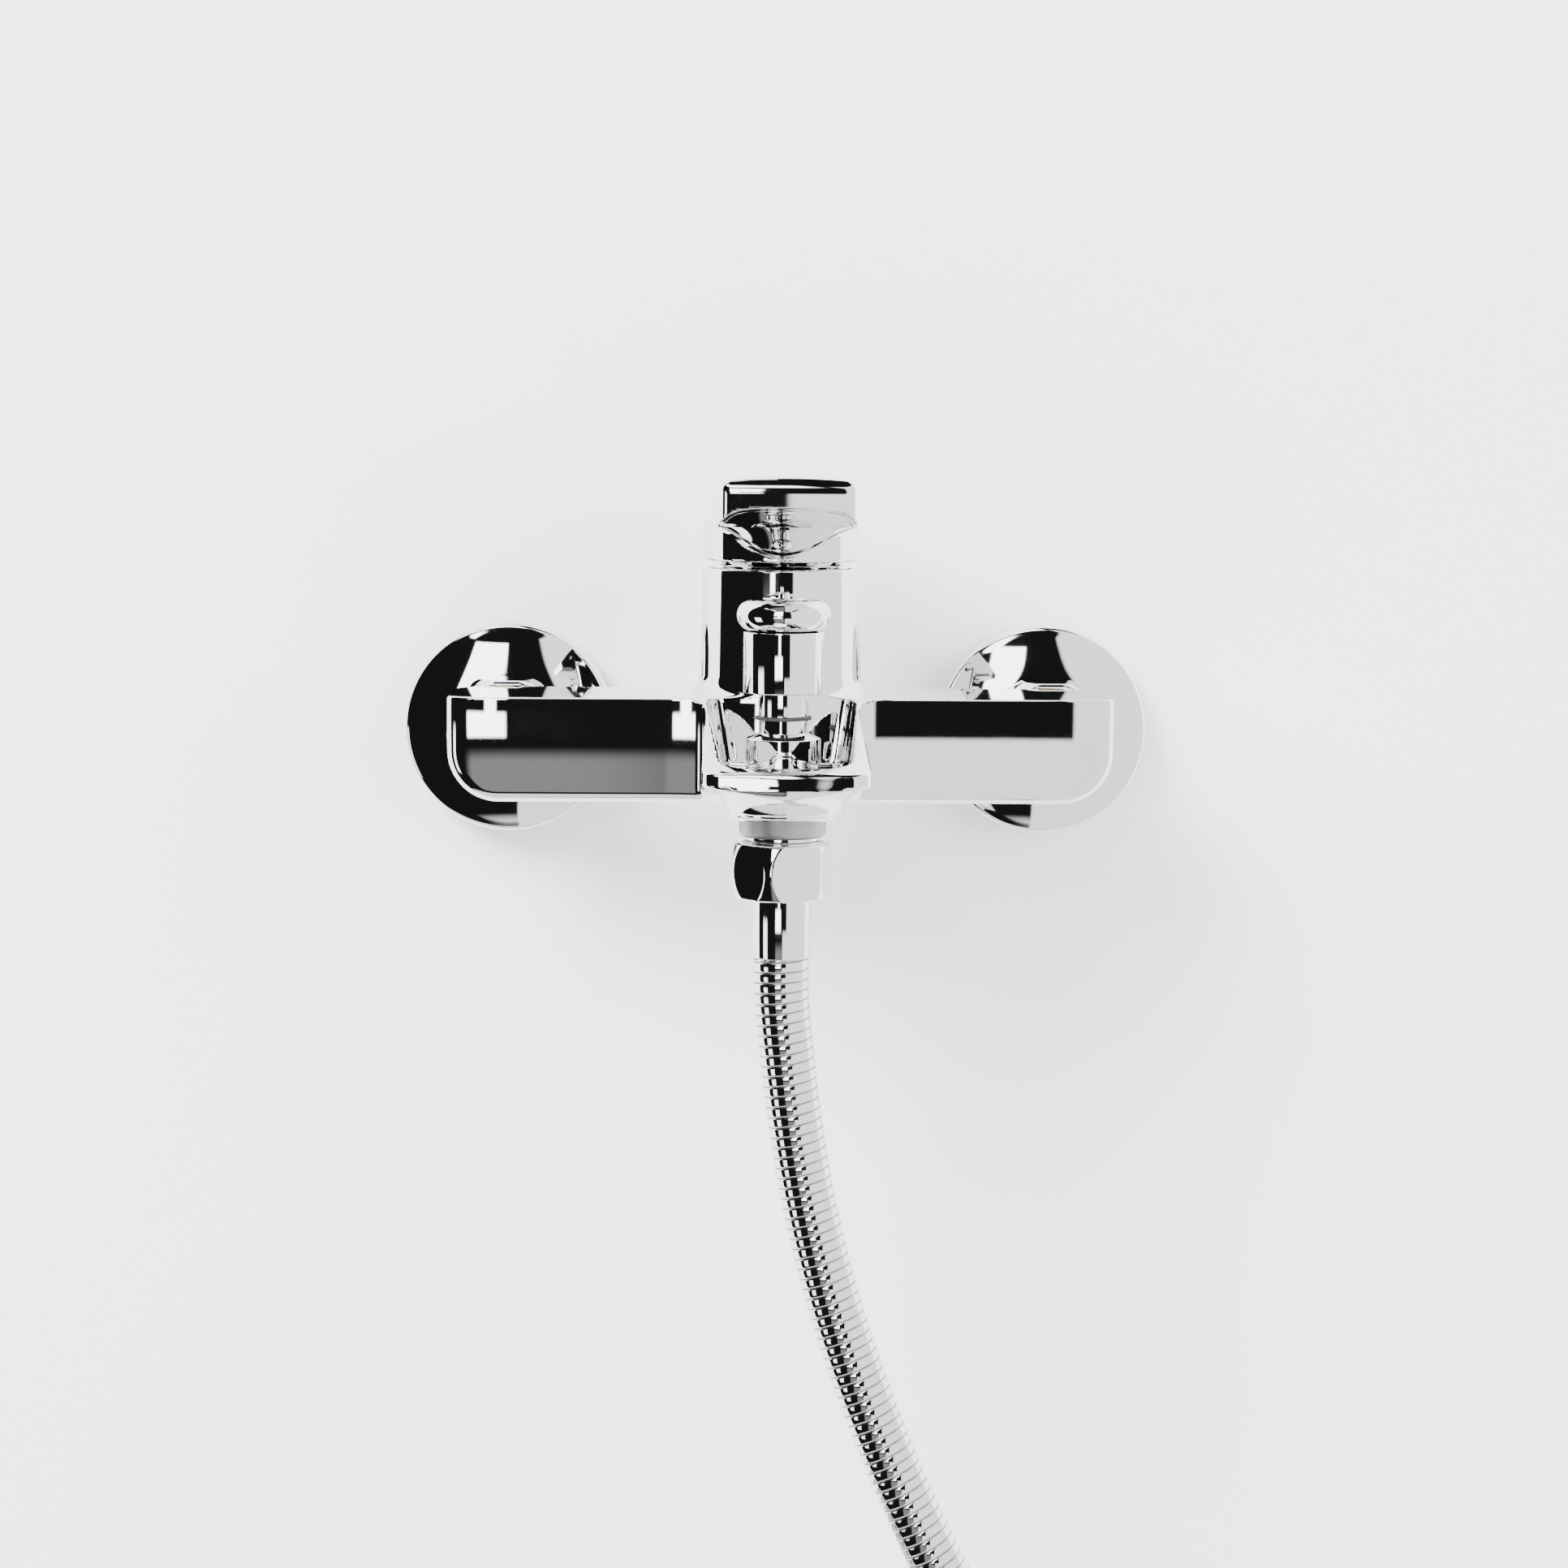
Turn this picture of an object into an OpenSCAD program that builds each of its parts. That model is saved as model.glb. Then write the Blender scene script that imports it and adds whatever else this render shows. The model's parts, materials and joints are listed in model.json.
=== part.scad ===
// Wall mounted single-lever bath faucet with a pull-up diverter and a metal shower hose.
// The origin lies on the wall's face, midway between the two inlets. X runs to the right,
// Y runs into the wall and Z runs up, so everything in front of the wall has a negative Y.

/* [Inlets] */
// Distance between the centres of the two inlets
inlet_spacing = 150; // [146:1:154]
// How far each wall thread sits below its inlet's centre
union_offset = 8; // [6:0.5:9]
// Diameter of the escutcheons
escutcheon_d = 58.8; // [56:0.2:64]
// Depth of the escutcheons, from the wall to their front edge
escutcheon_depth = 16; // [14:0.5:17]

/* [Body] */
// Length of the horizontal bar
bar_l = 176; // [174:1:190]
// Height of the bar
bar_h = 28; // [28:0.5:32]
// Radius of the bar's lower corners
bar_corner_r = 13.5; // [6:0.5:13.5]
// Distance from the wall to the bar's back
bar_back = 43; // [43:0.5:44]
// Distance from the wall to the bar's front
bar_front = 80; // [79:0.5:82]
// Distance from the wall to the tower's axis
tower_axis = 58; // [57.5:0.5:58.5]
// Diameter of the tower at its top
tower_top_d = 42.3; // [42:0.1:44]
// Diameter of the tower at its foot
tower_foot_d = 43.5; // [43:0.1:46]
// Height of the tower's top over the inlets
tower_top = 47.7; // [47:0.1:48]

/* [Spout] */
// Distance from the wall to the tip of the spout
spout_reach = 149; // [147:0.5:152]
// Width of the spout
spout_w = 41.8; // [41:0.2:46]
// Distance from the wall to the outlet's centre
aerator_axis = 130; // [129:0.5:131]
// Distance from the wall to the diverter's axis, which is also the hose's
diverter_axis = 100; // [99.5:0.5:101]

/* [Handle] */
// Diameter of the handle's round skirt
skirt_d = 41.5; // [41:0.1:42]
// Distance from the wall to the tip of the lever
lever_reach = 145; // [120:1:150]
// Width of the lever at its tip
lever_tip_w = 32.6; // [26:0.2:36]
// Height of the lever's top over the inlets
lever_top = 72; // [71.5:0.1:74]

/* [Diverter] */
// Diameter of the mushroom knob
knob_d = 24.2; // [22:0.2:25]
// Travel of the knob
diverter_travel = 10.4; // [9:0.1:10.4]

/* [Hose] */
// Outer diameter of the metal hose
hose_d = 14.4; // [14:0.1:14.4]
// Radius of the stored coil, at the middle of its turns
coil_r = 86; // [86:1:86]

/* [Hidden] */
$fn = 64;

// Fits and overlaps of the cutting shapes
gap = 0.05;
eps = 0.1;

// Pipe threads, drawn as plain cylinders at their major diameter
g12_r = 10.48;
g34_r = 13.22;

// Stations along the inlet's axis, as distances from the wall
wall_thread_l = 15;
offset_plate_end = 8;
union_end = 30;
washer_t = 2.5;
union_bore_r = 7.5;
union_nut_back = 19;
union_nut_front = 38;
union_nut_af = 30;
spigot_collar_r = 12.6;
spigot_collar_t = 2.6;
spigot_r = 11;
spigot_depth = 9.5;
collar_back = union_end + washer_t;

// Heights of the bar and waterways in the body
bar_bottom = -bar_h / 2;
bar_top = bar_h / 2;
cross_bore_r = 5;
cross_bore_y = -tower_axis + 2.5;
port_x = 8;
port_r = 3.5;
slot_w = 9;
slot_h = 3;
feed_slot_z = -9.5;

// Cartridge, from its cavity's floor upward
cavity_floor = 22;
cavity_r = 17.6;
nut_seat_z = 39.5;
nut_thread_r = 18.9;
housing_r = 17.5;
housing_wall = 2;
housing_ceiling = 37.9;
neck_r = 11.3;
neck_top = 52;
base_plate_t = 2.5;
fixed_disc_z = 26;
fixed_disc_t = 3.8;
moving_disc_t = 3.4;
coupler_t = 4.2;
disc_r = 12;
pivot_z = 49.5;
ball_z = 36.1;
ball_r = 2.6;
stem_w = 7.6;
disc_rest_shift = 2.9;
rotor_r = 9.6;
cover_r = 20.4;
cover_seat_z = tower_top - 0.8;

// Handle
skirt_bottom = 49.5;
skirt_cavity_r = 18.2;
skirt_ceiling = 59.5;
lift_clear_angle = 26;
stem_top = 67.5;
grub_z = 63.5;
grub_r = 2.5;
handle_rear_y = -tower_axis + skirt_d / 2;

// Spout and its scooped top
scoop_floor_back = -4.3;
scoop_slope = 4.7;
spout_top_back = 12.6;
spout_lip_top = 1.4;
keel_w = 27;
keel_bottom = -14.2;
aerator_bottom = -9.7;
aerator_h = 4.6;
aerator_seal_h = 1.6;
aerator_seat_h = 6.5;
aerator_bore_r = 11;
aerator_ring_r = 12.7;
keel_front = aerator_axis - aerator_ring_r - 0.3;
// The passage from the diverter to the aerator: a low slot, then a higher one
spout_slot_z = -12.9;
spout_slot_h = 2.7;
spout_rise_h = 6.6;

// Diverter, with the knob lifted
collar_r = 9.65;
collar_bottom = -2.7;
collar_top = 5.7;
cone_top = 7;
neck_lower_r = 6.25;
neck_upper_r = 6.4;
snap_z = 10.9;
bonnet_top = 21;
bonnet_thread_r = 8.5;
bonnet_thread_end = -6.2;
stem_r = 3;
stem_foot_r = 2;
sleeve_r = 10.35;
sleeve_bore_r = 7.7;
sleeve_bottom = 17.4;
sleeve_bore_l = 14.7;
knob_bottom = 33.1;
knob_top = 41.4;
knob_socket_l = 5;
cap_screw_r = 1.2;
cap_screw_l = 6;
spool_r = 7.25;
spool_top = -10.1;
spool_h = 3.2;
poppet_top = -15;
poppet_h = 1.6;
poppet_r = 6.5;
poppet_washer_h = 1.5;
seat_z = poppet_top - poppet_h - poppet_washer_h - diverter_travel - 0.2;

// Shower outlet and the hose's fitting, from the top down
outlet_bore_r = 7.3;
outlet_spigot_r = 9.4;
outlet_flange_r = 11.2;
outlet_flange_bottom = -19.6;
outlet_end = -29.9;
outlet_throat_r = 5;
hose_nut_top = -20.9;
hose_nut_bottom = -35.5;
hose_nut_af = 24;
ferrule_r = 7.6;
ferrule_end = -51;
hose_bore_r = 4.2;

// Route of the hanging hose from its ferrule to its coil, as distances from its fitting's axis
hose_route = [
  [0, 0, ferrule_end], [0, 0, -60], [0.6, 0, -68], [1.7, 0, -78], [3.2, 0, -90],
  [5, 0, -102], [7.2, -0.3, -114], [10.2, -0.9, -127], [14, -1.6, -141], [18.5, -2.5, -155],
  [23.6, -3.4, -169], [29.2, -4.3, -183], [35.8, -5.2, -198], [43, -6, -213], [51.3, -6.7, -229],
  [59.2, -7.1, -243], [67.6, -7.3, -257], [76.45, -7.3, -271.67]
];
// The points of the coil: its centre, where the hose joins it and how its turns lie side by side
coil_x = 6;
coil_z = -321;
coil_y = -diverter_axis + 8;
coil_w = 45.4;
coil_join_angle = 35;
turn_pitch = 14.8;
coil_first_y = -diverter_axis - 7.3;
coil_turns = 2 + coil_join_angle / 360;
tail_y = coil_first_y + turn_pitch * coil_turns;
tail_x = coil_x + coil_r;
tail_l = 58;
end_ferrule_z = coil_z - tail_l;
end_ferrule_l = 15;
end_nut_z = end_ferrule_z - end_ferrule_l;
end_nut_l = 22;

function sub(a, b) = [a[0] - b[0], a[1] - b[1], a[2] - b[2]];
function unit(v) = v / norm(v);

// Direction of a route at its point i
function route_dir(route, i) =
  unit(sub(route[min(i + 1, len(route) - 1)], route[max(i - 1, 0)]));

// A ring of points round a route's point. The route never runs along Y, so Y gives its sides.
function ring_at(p, dir, r, sides) =
  let (side = unit(cross(dir, [0, 1, 0])), back = cross(side, dir))
  [for (k = [0:sides - 1]) p + r * (cos(360 * k / sides) * side + sin(360 * k / sides) * back)];

// A closed tube swept along a route
module swept_tube(route, r, sides) {
  n = len(route);
  points = [for (i = [0:n - 1]) each ring_at(route[i], route_dir(route, i), r, sides)];
  walls = [
    for (i = [0:n - 2], k = [0:sides - 1])
      let (a = i * sides + k, b = i * sides + (k + 1) % sides)
      [a, b, b + sides, a + sides]
  ];
  first_cap = [for (k = [0:sides - 1]) sides - 1 - k];
  last_cap = [for (k = [0:sides - 1]) (n - 1) * sides + k];
  polyhedron(points, concat([first_cap], walls, [last_cap]));
}

// Turns a shape drawn along +Z so that it runs from the wall to the front
module outward() {
  rotate([90, 0, 0]) children();
}

// A cylinder or cone along the way out of the wall, from one distance to another
module out_cyl(r, from, to, r2 = -1) {
  outward() translate([0, 0, from]) cylinder(r1 = r, r2 = r2 < 0 ? r : r2, h = to - from);
}

// A tube along Z
module tube(r_out, r_in, z0, z1) {
  translate([0, 0, z0]) difference() {
    cylinder(r = r_out, h = z1 - z0);
    translate([0, 0, -eps]) cylinder(r = r_in, h = z1 - z0 + 2 * eps);
  }
}

// A rubber ring of round section
module o_ring(r, section_r, z) {
  translate([0, 0, z]) rotate_extrude() translate([r, 0]) circle(r = section_r, $fn = 24);
}

// A hexagon along Z with both ends chamfered to a circle
module hex_prism(af, h, chamfer) {
  corner_r = af / sqrt(3);
  intersection() {
    cylinder(r = corner_r, h = h, $fn = 6);
    rotate_extrude() polygon([
      [0, 0], [corner_r - chamfer * 1.6, 0], [corner_r, chamfer],
      [corner_r, h - chamfer], [corner_r - chamfer * 1.6, h], [0, h]
    ]);
  }
}

// ---- Inlets ----

module eccentric_union() {
  hex_af = 24;
  color("silver") difference() {
    union() {
      translate([0, 0, -union_offset]) out_cyl(g12_r, -wall_thread_l, offset_plate_end);
      translate([0, 0, -union_offset]) outward() translate([0, 0, 1.5])
        cylinder(r = hex_af / sqrt(3), h = 4, $fn = 6);
      out_cyl(g34_r, offset_plate_end - 4, union_end);
    }
    translate([0, 0, -union_offset]) out_cyl(6.5, -wall_thread_l - eps, offset_plate_end - 1);
    out_cyl(union_bore_r, offset_plate_end - 3, union_end + eps);
  }
}

module escutcheon() {
  r = escutcheon_d / 2;
  wall = 1.2;
  edge_r = 2.4;
  hub_r = g34_r + 2.2;
  hub_front = escutcheon_depth + 1.6;
  color("silver") outward() difference() {
    rotate_extrude() union() {
      square([r, escutcheon_depth - edge_r]);
      square([r - edge_r, escutcheon_depth]);
      translate([r - edge_r, escutcheon_depth - edge_r]) circle(r = edge_r);
      polygon([[0, 0], [r - edge_r - 3, escutcheon_depth - eps], [hub_r, hub_front], [0, hub_front]]);
    }
    translate([0, 0, -eps]) cylinder(r = r - wall, h = escutcheon_depth - edge_r + eps);
    translate([0, 0, -eps]) cylinder(r = g34_r + gap, h = hub_front + 1);
  }
}

module union_nut() {
  thread_end = collar_back + spigot_collar_t + 2 * gap;
  color("silver") outward() translate([0, 0, union_nut_back]) difference() {
    hex_prism(union_nut_af, union_nut_front - union_nut_back, 1.4);
    translate([0, 0, -eps]) cylinder(r = g34_r + gap, h = thread_end - union_nut_back + eps);
    cylinder(r = spigot_r + 0.2, h = union_nut_front);
  }
}

module union_washer() {
  color("dimgray") difference() {
    out_cyl(12.4, union_end, collar_back);
    out_cyl(8, union_end - eps, collar_back + eps);
  }
}

module union_spigot() {
  color("goldenrod") difference() {
    union() {
      out_cyl(spigot_collar_r, collar_back, collar_back + spigot_collar_t);
      out_cyl(spigot_r, collar_back, bar_back + spigot_depth);
    }
    out_cyl(union_bore_r, collar_back - eps, bar_back + spigot_depth + eps);
  }
}

// Places a piece at one of the inlets: -1 is the left one and 1 the right one
module at_inlet(side) {
  translate([side * inlet_spacing / 2, 0, 0]) children();
}

// ---- Body ----

// The bar's outline from the front, with its lower corners rounded
module bar_front_outline() {
  r = bar_corner_r;
  x = bar_l / 2;
  translate([-x + r, bar_bottom]) square([2 * (x - r), bar_h]);
  translate([-x, bar_bottom + r]) square([2 * x, bar_h - r]);
  for (s = [-1, 1]) translate([s * (x - r), bar_bottom + r]) circle(r = r);
}

// The bar's outline from above, with its back corners rounded
module bar_plan_outline() {
  r = 12;
  x = bar_l / 2;
  translate([-x + r, -bar_front]) square([2 * (x - r), bar_front - bar_back]);
  translate([-x, -bar_front]) square([2 * x, bar_front - bar_back - r]);
  for (s = [-1, 1]) translate([s * (x - r), -bar_back - r]) circle(r = r);
}

module bar_block() {
  intersection() {
    outward() translate([0, 0, bar_back - 1])
      linear_extrude(bar_front - bar_back + 2) bar_front_outline();
    translate([0, 0, bar_bottom - 1]) linear_extrude(bar_h + 2) bar_plan_outline();
  }
}

// The tower with the hollow fillet at its foot
module tower_block() {
  fillet_r = 5;
  foot_r = tower_foot_d / 2;
  cylinder(r1 = foot_r, r2 = tower_top_d / 2, h = tower_top);
  intersection() {
    translate([0, 0, bar_top - eps]) rotate_extrude() difference() {
      square([foot_r + fillet_r, fillet_r + eps]);
      translate([foot_r + fillet_r, fillet_r + eps]) circle(r = fillet_r);
    }
    translate([-60, -bar_front + tower_axis, 0]) cube([120, bar_front - bar_back, 60]);
  }
}

// The spout's outline from above, with a rounded tip
module spout_plan_outline(w, reach, tip_r) {
  x = w / 2;
  translate([-x, -reach + tip_r]) square([w, reach - tip_r - tower_axis]);
  translate([-x + tip_r, -reach]) square([w - 2 * tip_r, reach - tower_axis]);
  for (s = [-1, 1]) translate([s * (x - tip_r), -reach + tip_r]) circle(r = tip_r);
}

// Extrudes an outline given as distance from the wall and height, across a width
module side_extrude(w) {
  translate([w / 2, 0, 0]) rotate([90, 0, -90]) linear_extrude(w) children();
}

module spout_block() {
  intersection() {
    side_extrude(spout_w) polygon([
      [tower_axis, spout_top_back], [bar_front, spout_top_back], [spout_reach - 2, spout_lip_top],
      [spout_reach, spout_lip_top - 2], [spout_reach - 2, -4.5], [spout_reach - 12, -7],
      [bar_front, -10], [tower_axis, -10]
    ]);
    translate([0, 0, -20]) linear_extrude(40) spout_plan_outline(spout_w, spout_reach, 12);
  }
  side_extrude(keel_w) polygon([
    [tower_axis, 0], [keel_front, 0], [keel_front, keel_bottom],
    [bar_front - 4, keel_bottom], [tower_axis, bar_bottom]
  ]);
  translate([0, -aerator_axis, aerator_bottom]) cylinder(r1 = 14.9, r2 = 18.5, h = 6.5);
}

// The scoop in the spout's top, which the diverter stands in
module scoop() {
  floor_half = 16.4;
  top_half = 19.5;
  depth = 17;
  scoop_back = tower_axis + 10;
  difference() {
    translate([0, -bar_front, scoop_floor_back]) rotate([-scoop_slope, 0, 0])
      outward() translate([0, 0, scoop_back - bar_front])
        linear_extrude(spout_reach - 6 - scoop_back)
          polygon([
            [-floor_half, 0], [floor_half, 0], [top_half, depth], [top_half, 3 * depth],
            [-top_half, 3 * depth], [-top_half, depth]
          ]);
    translate([0, -tower_axis - 1.9, scoop_floor_back - 2])
      cylinder(r1 = 16.4, r2 = 19.8, h = spout_top_back - scoop_floor_back + 2);
    translate([0, -tower_axis, bar_top - 2]) cylinder(d = tower_foot_d, h = 80);
    translate([-100, -bar_front, -50]) cube([200, 60, 100]);
  }
}

// Every passage for water, and the bores that the fittings screw into
module waterways() {
  inlet_x = inlet_spacing / 2;
  for (s = [-1, 1]) {
    translate([s * inlet_x, 0, 0]) {
      out_cyl(spigot_r + gap, bar_back - eps, bar_back + spigot_depth + gap);
      out_cyl(union_bore_r, bar_back, tower_axis + 1);
    }
    translate([s * (port_x + inlet_x) / 2, cross_bore_y, 0]) rotate([0, 90, 0])
      cylinder(r = cross_bore_r, h = inlet_x - port_x, center = true);
    translate([s * port_x, cross_bore_y, 0]) cylinder(r = port_r, h = cavity_floor + eps);
  }
  mixed_y = -tower_axis - 8;
  translate([0, mixed_y, feed_slot_z]) cylinder(r = 4, h = cavity_floor - feed_slot_z + eps);
  translate([-slot_w / 2, -diverter_axis + 4, feed_slot_z])
    cube([slot_w, diverter_axis - 4 + mixed_y, slot_h]);
  translate([0, -tower_axis, cavity_floor]) cylinder(r = cavity_r, h = 40);
  translate([0, -tower_axis, nut_seat_z]) cylinder(r = nut_thread_r + gap, h = 40);
  translate([0, -diverter_axis, 0]) {
    translate([0, 0, -10]) cylinder(r = outlet_bore_r, h = 10);
    translate([0, 0, bonnet_thread_end]) cylinder(r = bonnet_thread_r + gap, h = 10);
    translate([0, 0, -20]) cylinder(r = outlet_spigot_r + gap, h = 10.1);
  }
  slot_front = keel_front - 1;
  rise_front = aerator_axis - aerator_bore_r + 0.5;
  rise_l = 8;
  translate([-slot_w / 2, -slot_front, spout_slot_z])
    cube([slot_w, slot_front - diverter_axis - 5, spout_slot_h]);
  translate([-slot_w / 2, -rise_front, spout_slot_z + spout_slot_h - 0.5])
    cube([slot_w, rise_l, spout_rise_h]);
  translate([0, -aerator_axis, aerator_bottom - 1])
    cylinder(r = aerator_bore_r + gap, h = 1 + aerator_seat_h);
}

module mixer_body() {
  color("silver") difference() {
    union() {
      bar_block();
      translate([0, -tower_axis, 0]) tower_block();
      spout_block();
    }
    scoop();
    translate([0, -diverter_axis, collar_bottom]) cylinder(r = collar_r + gap, h = 4);
    waterways();
    translate([0, -tower_axis, cover_seat_z]) cylinder(r = cover_r + gap, h = 5);
  }
}

// ---- Cartridge ----

// Moves children to the cartridge's axis
module at_tower() {
  translate([0, -tower_axis, 0]) children();
}

// The three water ports, at the radius that a disc needs
module ports(z, h, r) {
  for (s = [-1, 1]) translate([s * port_x, 2.5, z]) cylinder(r = r, h = h);
  translate([0, -8, z]) cylinder(r = r, h = h);
}

module cartridge_housing() {
  plate_z = fixed_disc_z - base_plate_t;
  color("whitesmoke") at_tower() difference() {
    union() {
      translate([0, 0, plate_z]) cylinder(r = housing_r, h = nut_seat_z - plate_z);
      translate([0, 0, nut_seat_z - eps]) cylinder(r = neck_r, h = neck_top - nut_seat_z + eps);
    }
    translate([0, 0, fixed_disc_z])
      cylinder(r = housing_r - housing_wall, h = housing_ceiling - fixed_disc_z);
    translate([0, 0, 30]) cylinder(r = rotor_r + gap, h = 30);
    ports(plate_z - eps, base_plate_t + 2 * eps, 3);
  }
}

module cartridge_base_seals() {
  color("black") at_tower() difference() {
    ports(cavity_floor, fixed_disc_z - base_plate_t - cavity_floor, 4.4);
    ports(cavity_floor - eps, 4, 3);
  }
}

module fixed_ceramic_disc() {
  color("ivory") at_tower() difference() {
    translate([0, 0, fixed_disc_z]) cylinder(r = housing_r - housing_wall - gap, h = fixed_disc_t);
    ports(fixed_disc_z - eps, fixed_disc_t + 2 * eps, 2.8);
  }
}

module moving_ceramic_disc() {
  z = fixed_disc_z + fixed_disc_t + gap;
  color("ivory") at_tower() translate([0, disc_rest_shift, z]) difference() {
    cylinder(r = disc_r, h = moving_disc_t);
    translate([0, -disc_rest_shift, -eps]) cylinder(r = 5, h = 1.8);
  }
}

module disc_coupler() {
  z = fixed_disc_z + fixed_disc_t + moving_disc_t + gap;
  color("whitesmoke") at_tower() difference() {
    translate([0, disc_rest_shift, z]) cylinder(r = disc_r, h = coupler_t);
    translate([-ball_r - 0.3, -ball_r - 0.4, z - eps])
      cube([2 * ball_r + 0.6, 2 * ball_r + 0.8, coupler_t + 2 * eps]);
  }
}

// The turning sleeve that carries the lever's pin. Its slot lets the stem swing.
module stem_rotor() {
  slot_half = stem_w / 2 + 0.3;
  color("whitesmoke") at_tower() difference() {
    translate([0, 0, nut_seat_z + 4]) cylinder(r = rotor_r, h = 12);
    translate([-slot_half, -8.2, nut_seat_z]) cube([2 * slot_half, 16.4, 30]);
    translate([-20, 0, pivot_z]) rotate([0, 90, 0]) cylinder(r = 1.5, h = 40);
  }
}

module stem_pin() {
  color("silver") at_tower() translate([-rotor_r + 0.1, 0, pivot_z]) rotate([0, 90, 0])
    cylinder(r = 1.5, h = 2 * rotor_r - 0.2);
}

module cartridge_stem() {
  w = stem_w;
  color("goldenrod") at_tower() difference() {
    union() {
      translate([-w / 2, -w / 2, pivot_z - 4]) cube([w, w, stem_top - pivot_z + 4]);
      translate([0, 0, ball_z]) cylinder(r = 2, h = pivot_z - 3 - ball_z);
      translate([0, 0, ball_z]) sphere(r = ball_r);
    }
    translate([-20, 0, pivot_z]) rotate([0, 90, 0]) cylinder(r = 1.5 + gap, h = 40);
  }
}

module cartridge_nut() {
  nut_top = cover_seat_z - 0.1;
  color("goldenrod") at_tower() difference() {
    translate([0, 0, nut_seat_z]) cylinder(r = nut_thread_r, h = nut_top - nut_seat_z);
    translate([0, 0, nut_seat_z - eps]) cylinder(r = neck_r + 0.2, h = 20);
    for (a = [0:60:300]) rotate(a) translate([15.2, 0, nut_top - 3]) cylinder(r = 1.6, h = 5);
  }
}

// The bright cone that closes the gap between the tower and the handle
module cartridge_cover() {
  cone_top_z = 52.5;
  color("silver") at_tower() rotate_extrude() polygon([
    [neck_r + 0.2, cover_seat_z], [cover_r, cover_seat_z], [cover_r, tower_top],
    [17, tower_top + 0.3], [neck_r + 1.6, cone_top_z], [neck_r + 0.2, cone_top_z]
  ]);
}

// ---- Handle ----

// The handle's outline from above: a round skirt and a lever that narrows to its tip
module handle_plan_outline() {
  root_x = 19.6;
  tip_x = lever_tip_w / 2;
  tip_r = 5;
  front = -lever_reach + tower_axis;
  circle(d = skirt_d);
  polygon([
    [-root_x, 0], [-tip_x, front + tip_r], [-tip_x + tip_r, front],
    [tip_x - tip_r, front], [tip_x, front + tip_r], [root_x, 0]
  ]);
}

// The handle's outline from the side, as distance from the wall and height
module handle_side_outline() {
  rear = -handle_rear_y;
  skirt_front = tower_axis + skirt_d / 2;
  polygon([
    [rear, skirt_bottom], [skirt_front, skirt_bottom], [skirt_front + 0.3, 51],
    [118, 60.2], [lever_reach, 66.3], [lever_reach, lever_top - 1],
    [lever_reach - 1, lever_top - 0.4], [rear + 3, lever_top], [rear, lever_top - 3]
  ]);
}

module lever_handle() {
  socket = stem_w + 2 * gap;
  color("silver") difference() {
    intersection() {
      at_tower() translate([0, 0, skirt_bottom - 1])
        linear_extrude(lever_top - skirt_bottom + 2) handle_plan_outline();
      side_extrude(60) handle_side_outline();
    }
    at_tower() {
      translate([0, 0, skirt_bottom - 1])
        cylinder(r = skirt_cavity_r, h = skirt_ceiling - skirt_bottom + 1);
      translate([-socket / 2, -socket / 2, skirt_ceiling - 1])
        cube([socket, socket, stem_top - skirt_ceiling + 1.2]);
      translate([0, 0, grub_z]) rotate([-90, 0, 0]) cylinder(r = grub_r + gap, h = 40);
      translate([0, skirt_d / 2 - 3, grub_z]) rotate([-90, 0, 0]) cylinder(r = 4 + gap, h = 10);
      translate([-50, 3.2, skirt_bottom]) rotate([lift_clear_angle, 0, 0])
        translate([0, -3, -30]) cube([100, 60, 30]);
    }
  }
}

module handle_grub_screw() {
  screw_y = stem_w / 2 + gap;
  color("dimgray") at_tower() translate([0, screw_y, grub_z]) rotate([-90, 0, 0]) difference() {
    cylinder(r = grub_r, h = 10);
    translate([0, 0, 7]) cylinder(r = 1.5, h = 4, $fn = 6);
  }
}

module screw_plug() {
  color("silver") at_tower() translate([0, skirt_d / 2 - 2.9, grub_z]) rotate([-90, 0, 0])
    cylinder(r = 4, h = 2.6);
}

// ---- Diverter ----

module at_diverter() {
  translate([0, -diverter_axis, 0]) children();
}

module diverter_bonnet() {
  color("silver") at_diverter() difference() {
    rotate_extrude() polygon([
      [0, bonnet_thread_end], [bonnet_thread_r, bonnet_thread_end],
      [bonnet_thread_r, collar_bottom], [collar_r, collar_bottom], [collar_r, collar_top],
      [neck_lower_r + 0.1, cone_top], [neck_lower_r, cone_top], [neck_lower_r, snap_z - 0.4],
      [neck_lower_r - 0.5, snap_z - 0.4], [neck_lower_r - 0.5, snap_z + 0.4],
      [neck_upper_r, snap_z + 0.4], [neck_upper_r, bonnet_top - 0.6],
      [neck_upper_r - 0.6, bonnet_top], [0, bonnet_top]
    ]);
    translate([0, 0, bonnet_thread_end - eps]) cylinder(r = stem_r + gap, h = 40);
    translate([0, 0, 14]) cylinder(r = 4.6, h = 2.4);
  }
}

module bonnet_snap_ring() {
  color("black") at_diverter() tube(7.25, neck_lower_r - 0.5 + gap, snap_z - 0.35, snap_z + 0.35);
}

module bonnet_oring() {
  color("black") at_diverter() tube(4.6 - gap, stem_r + gap, 14.1, 16.3);
}

module diverter_sleeve() {
  color("silver") at_diverter() difference() {
    translate([0, 0, sleeve_bottom]) cylinder(r = sleeve_r, h = knob_bottom - sleeve_bottom);
    translate([0, 0, sleeve_bottom - eps]) cylinder(r = sleeve_bore_r, h = sleeve_bore_l + eps);
    cylinder(r = stem_r, h = 60);
  }
}

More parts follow.
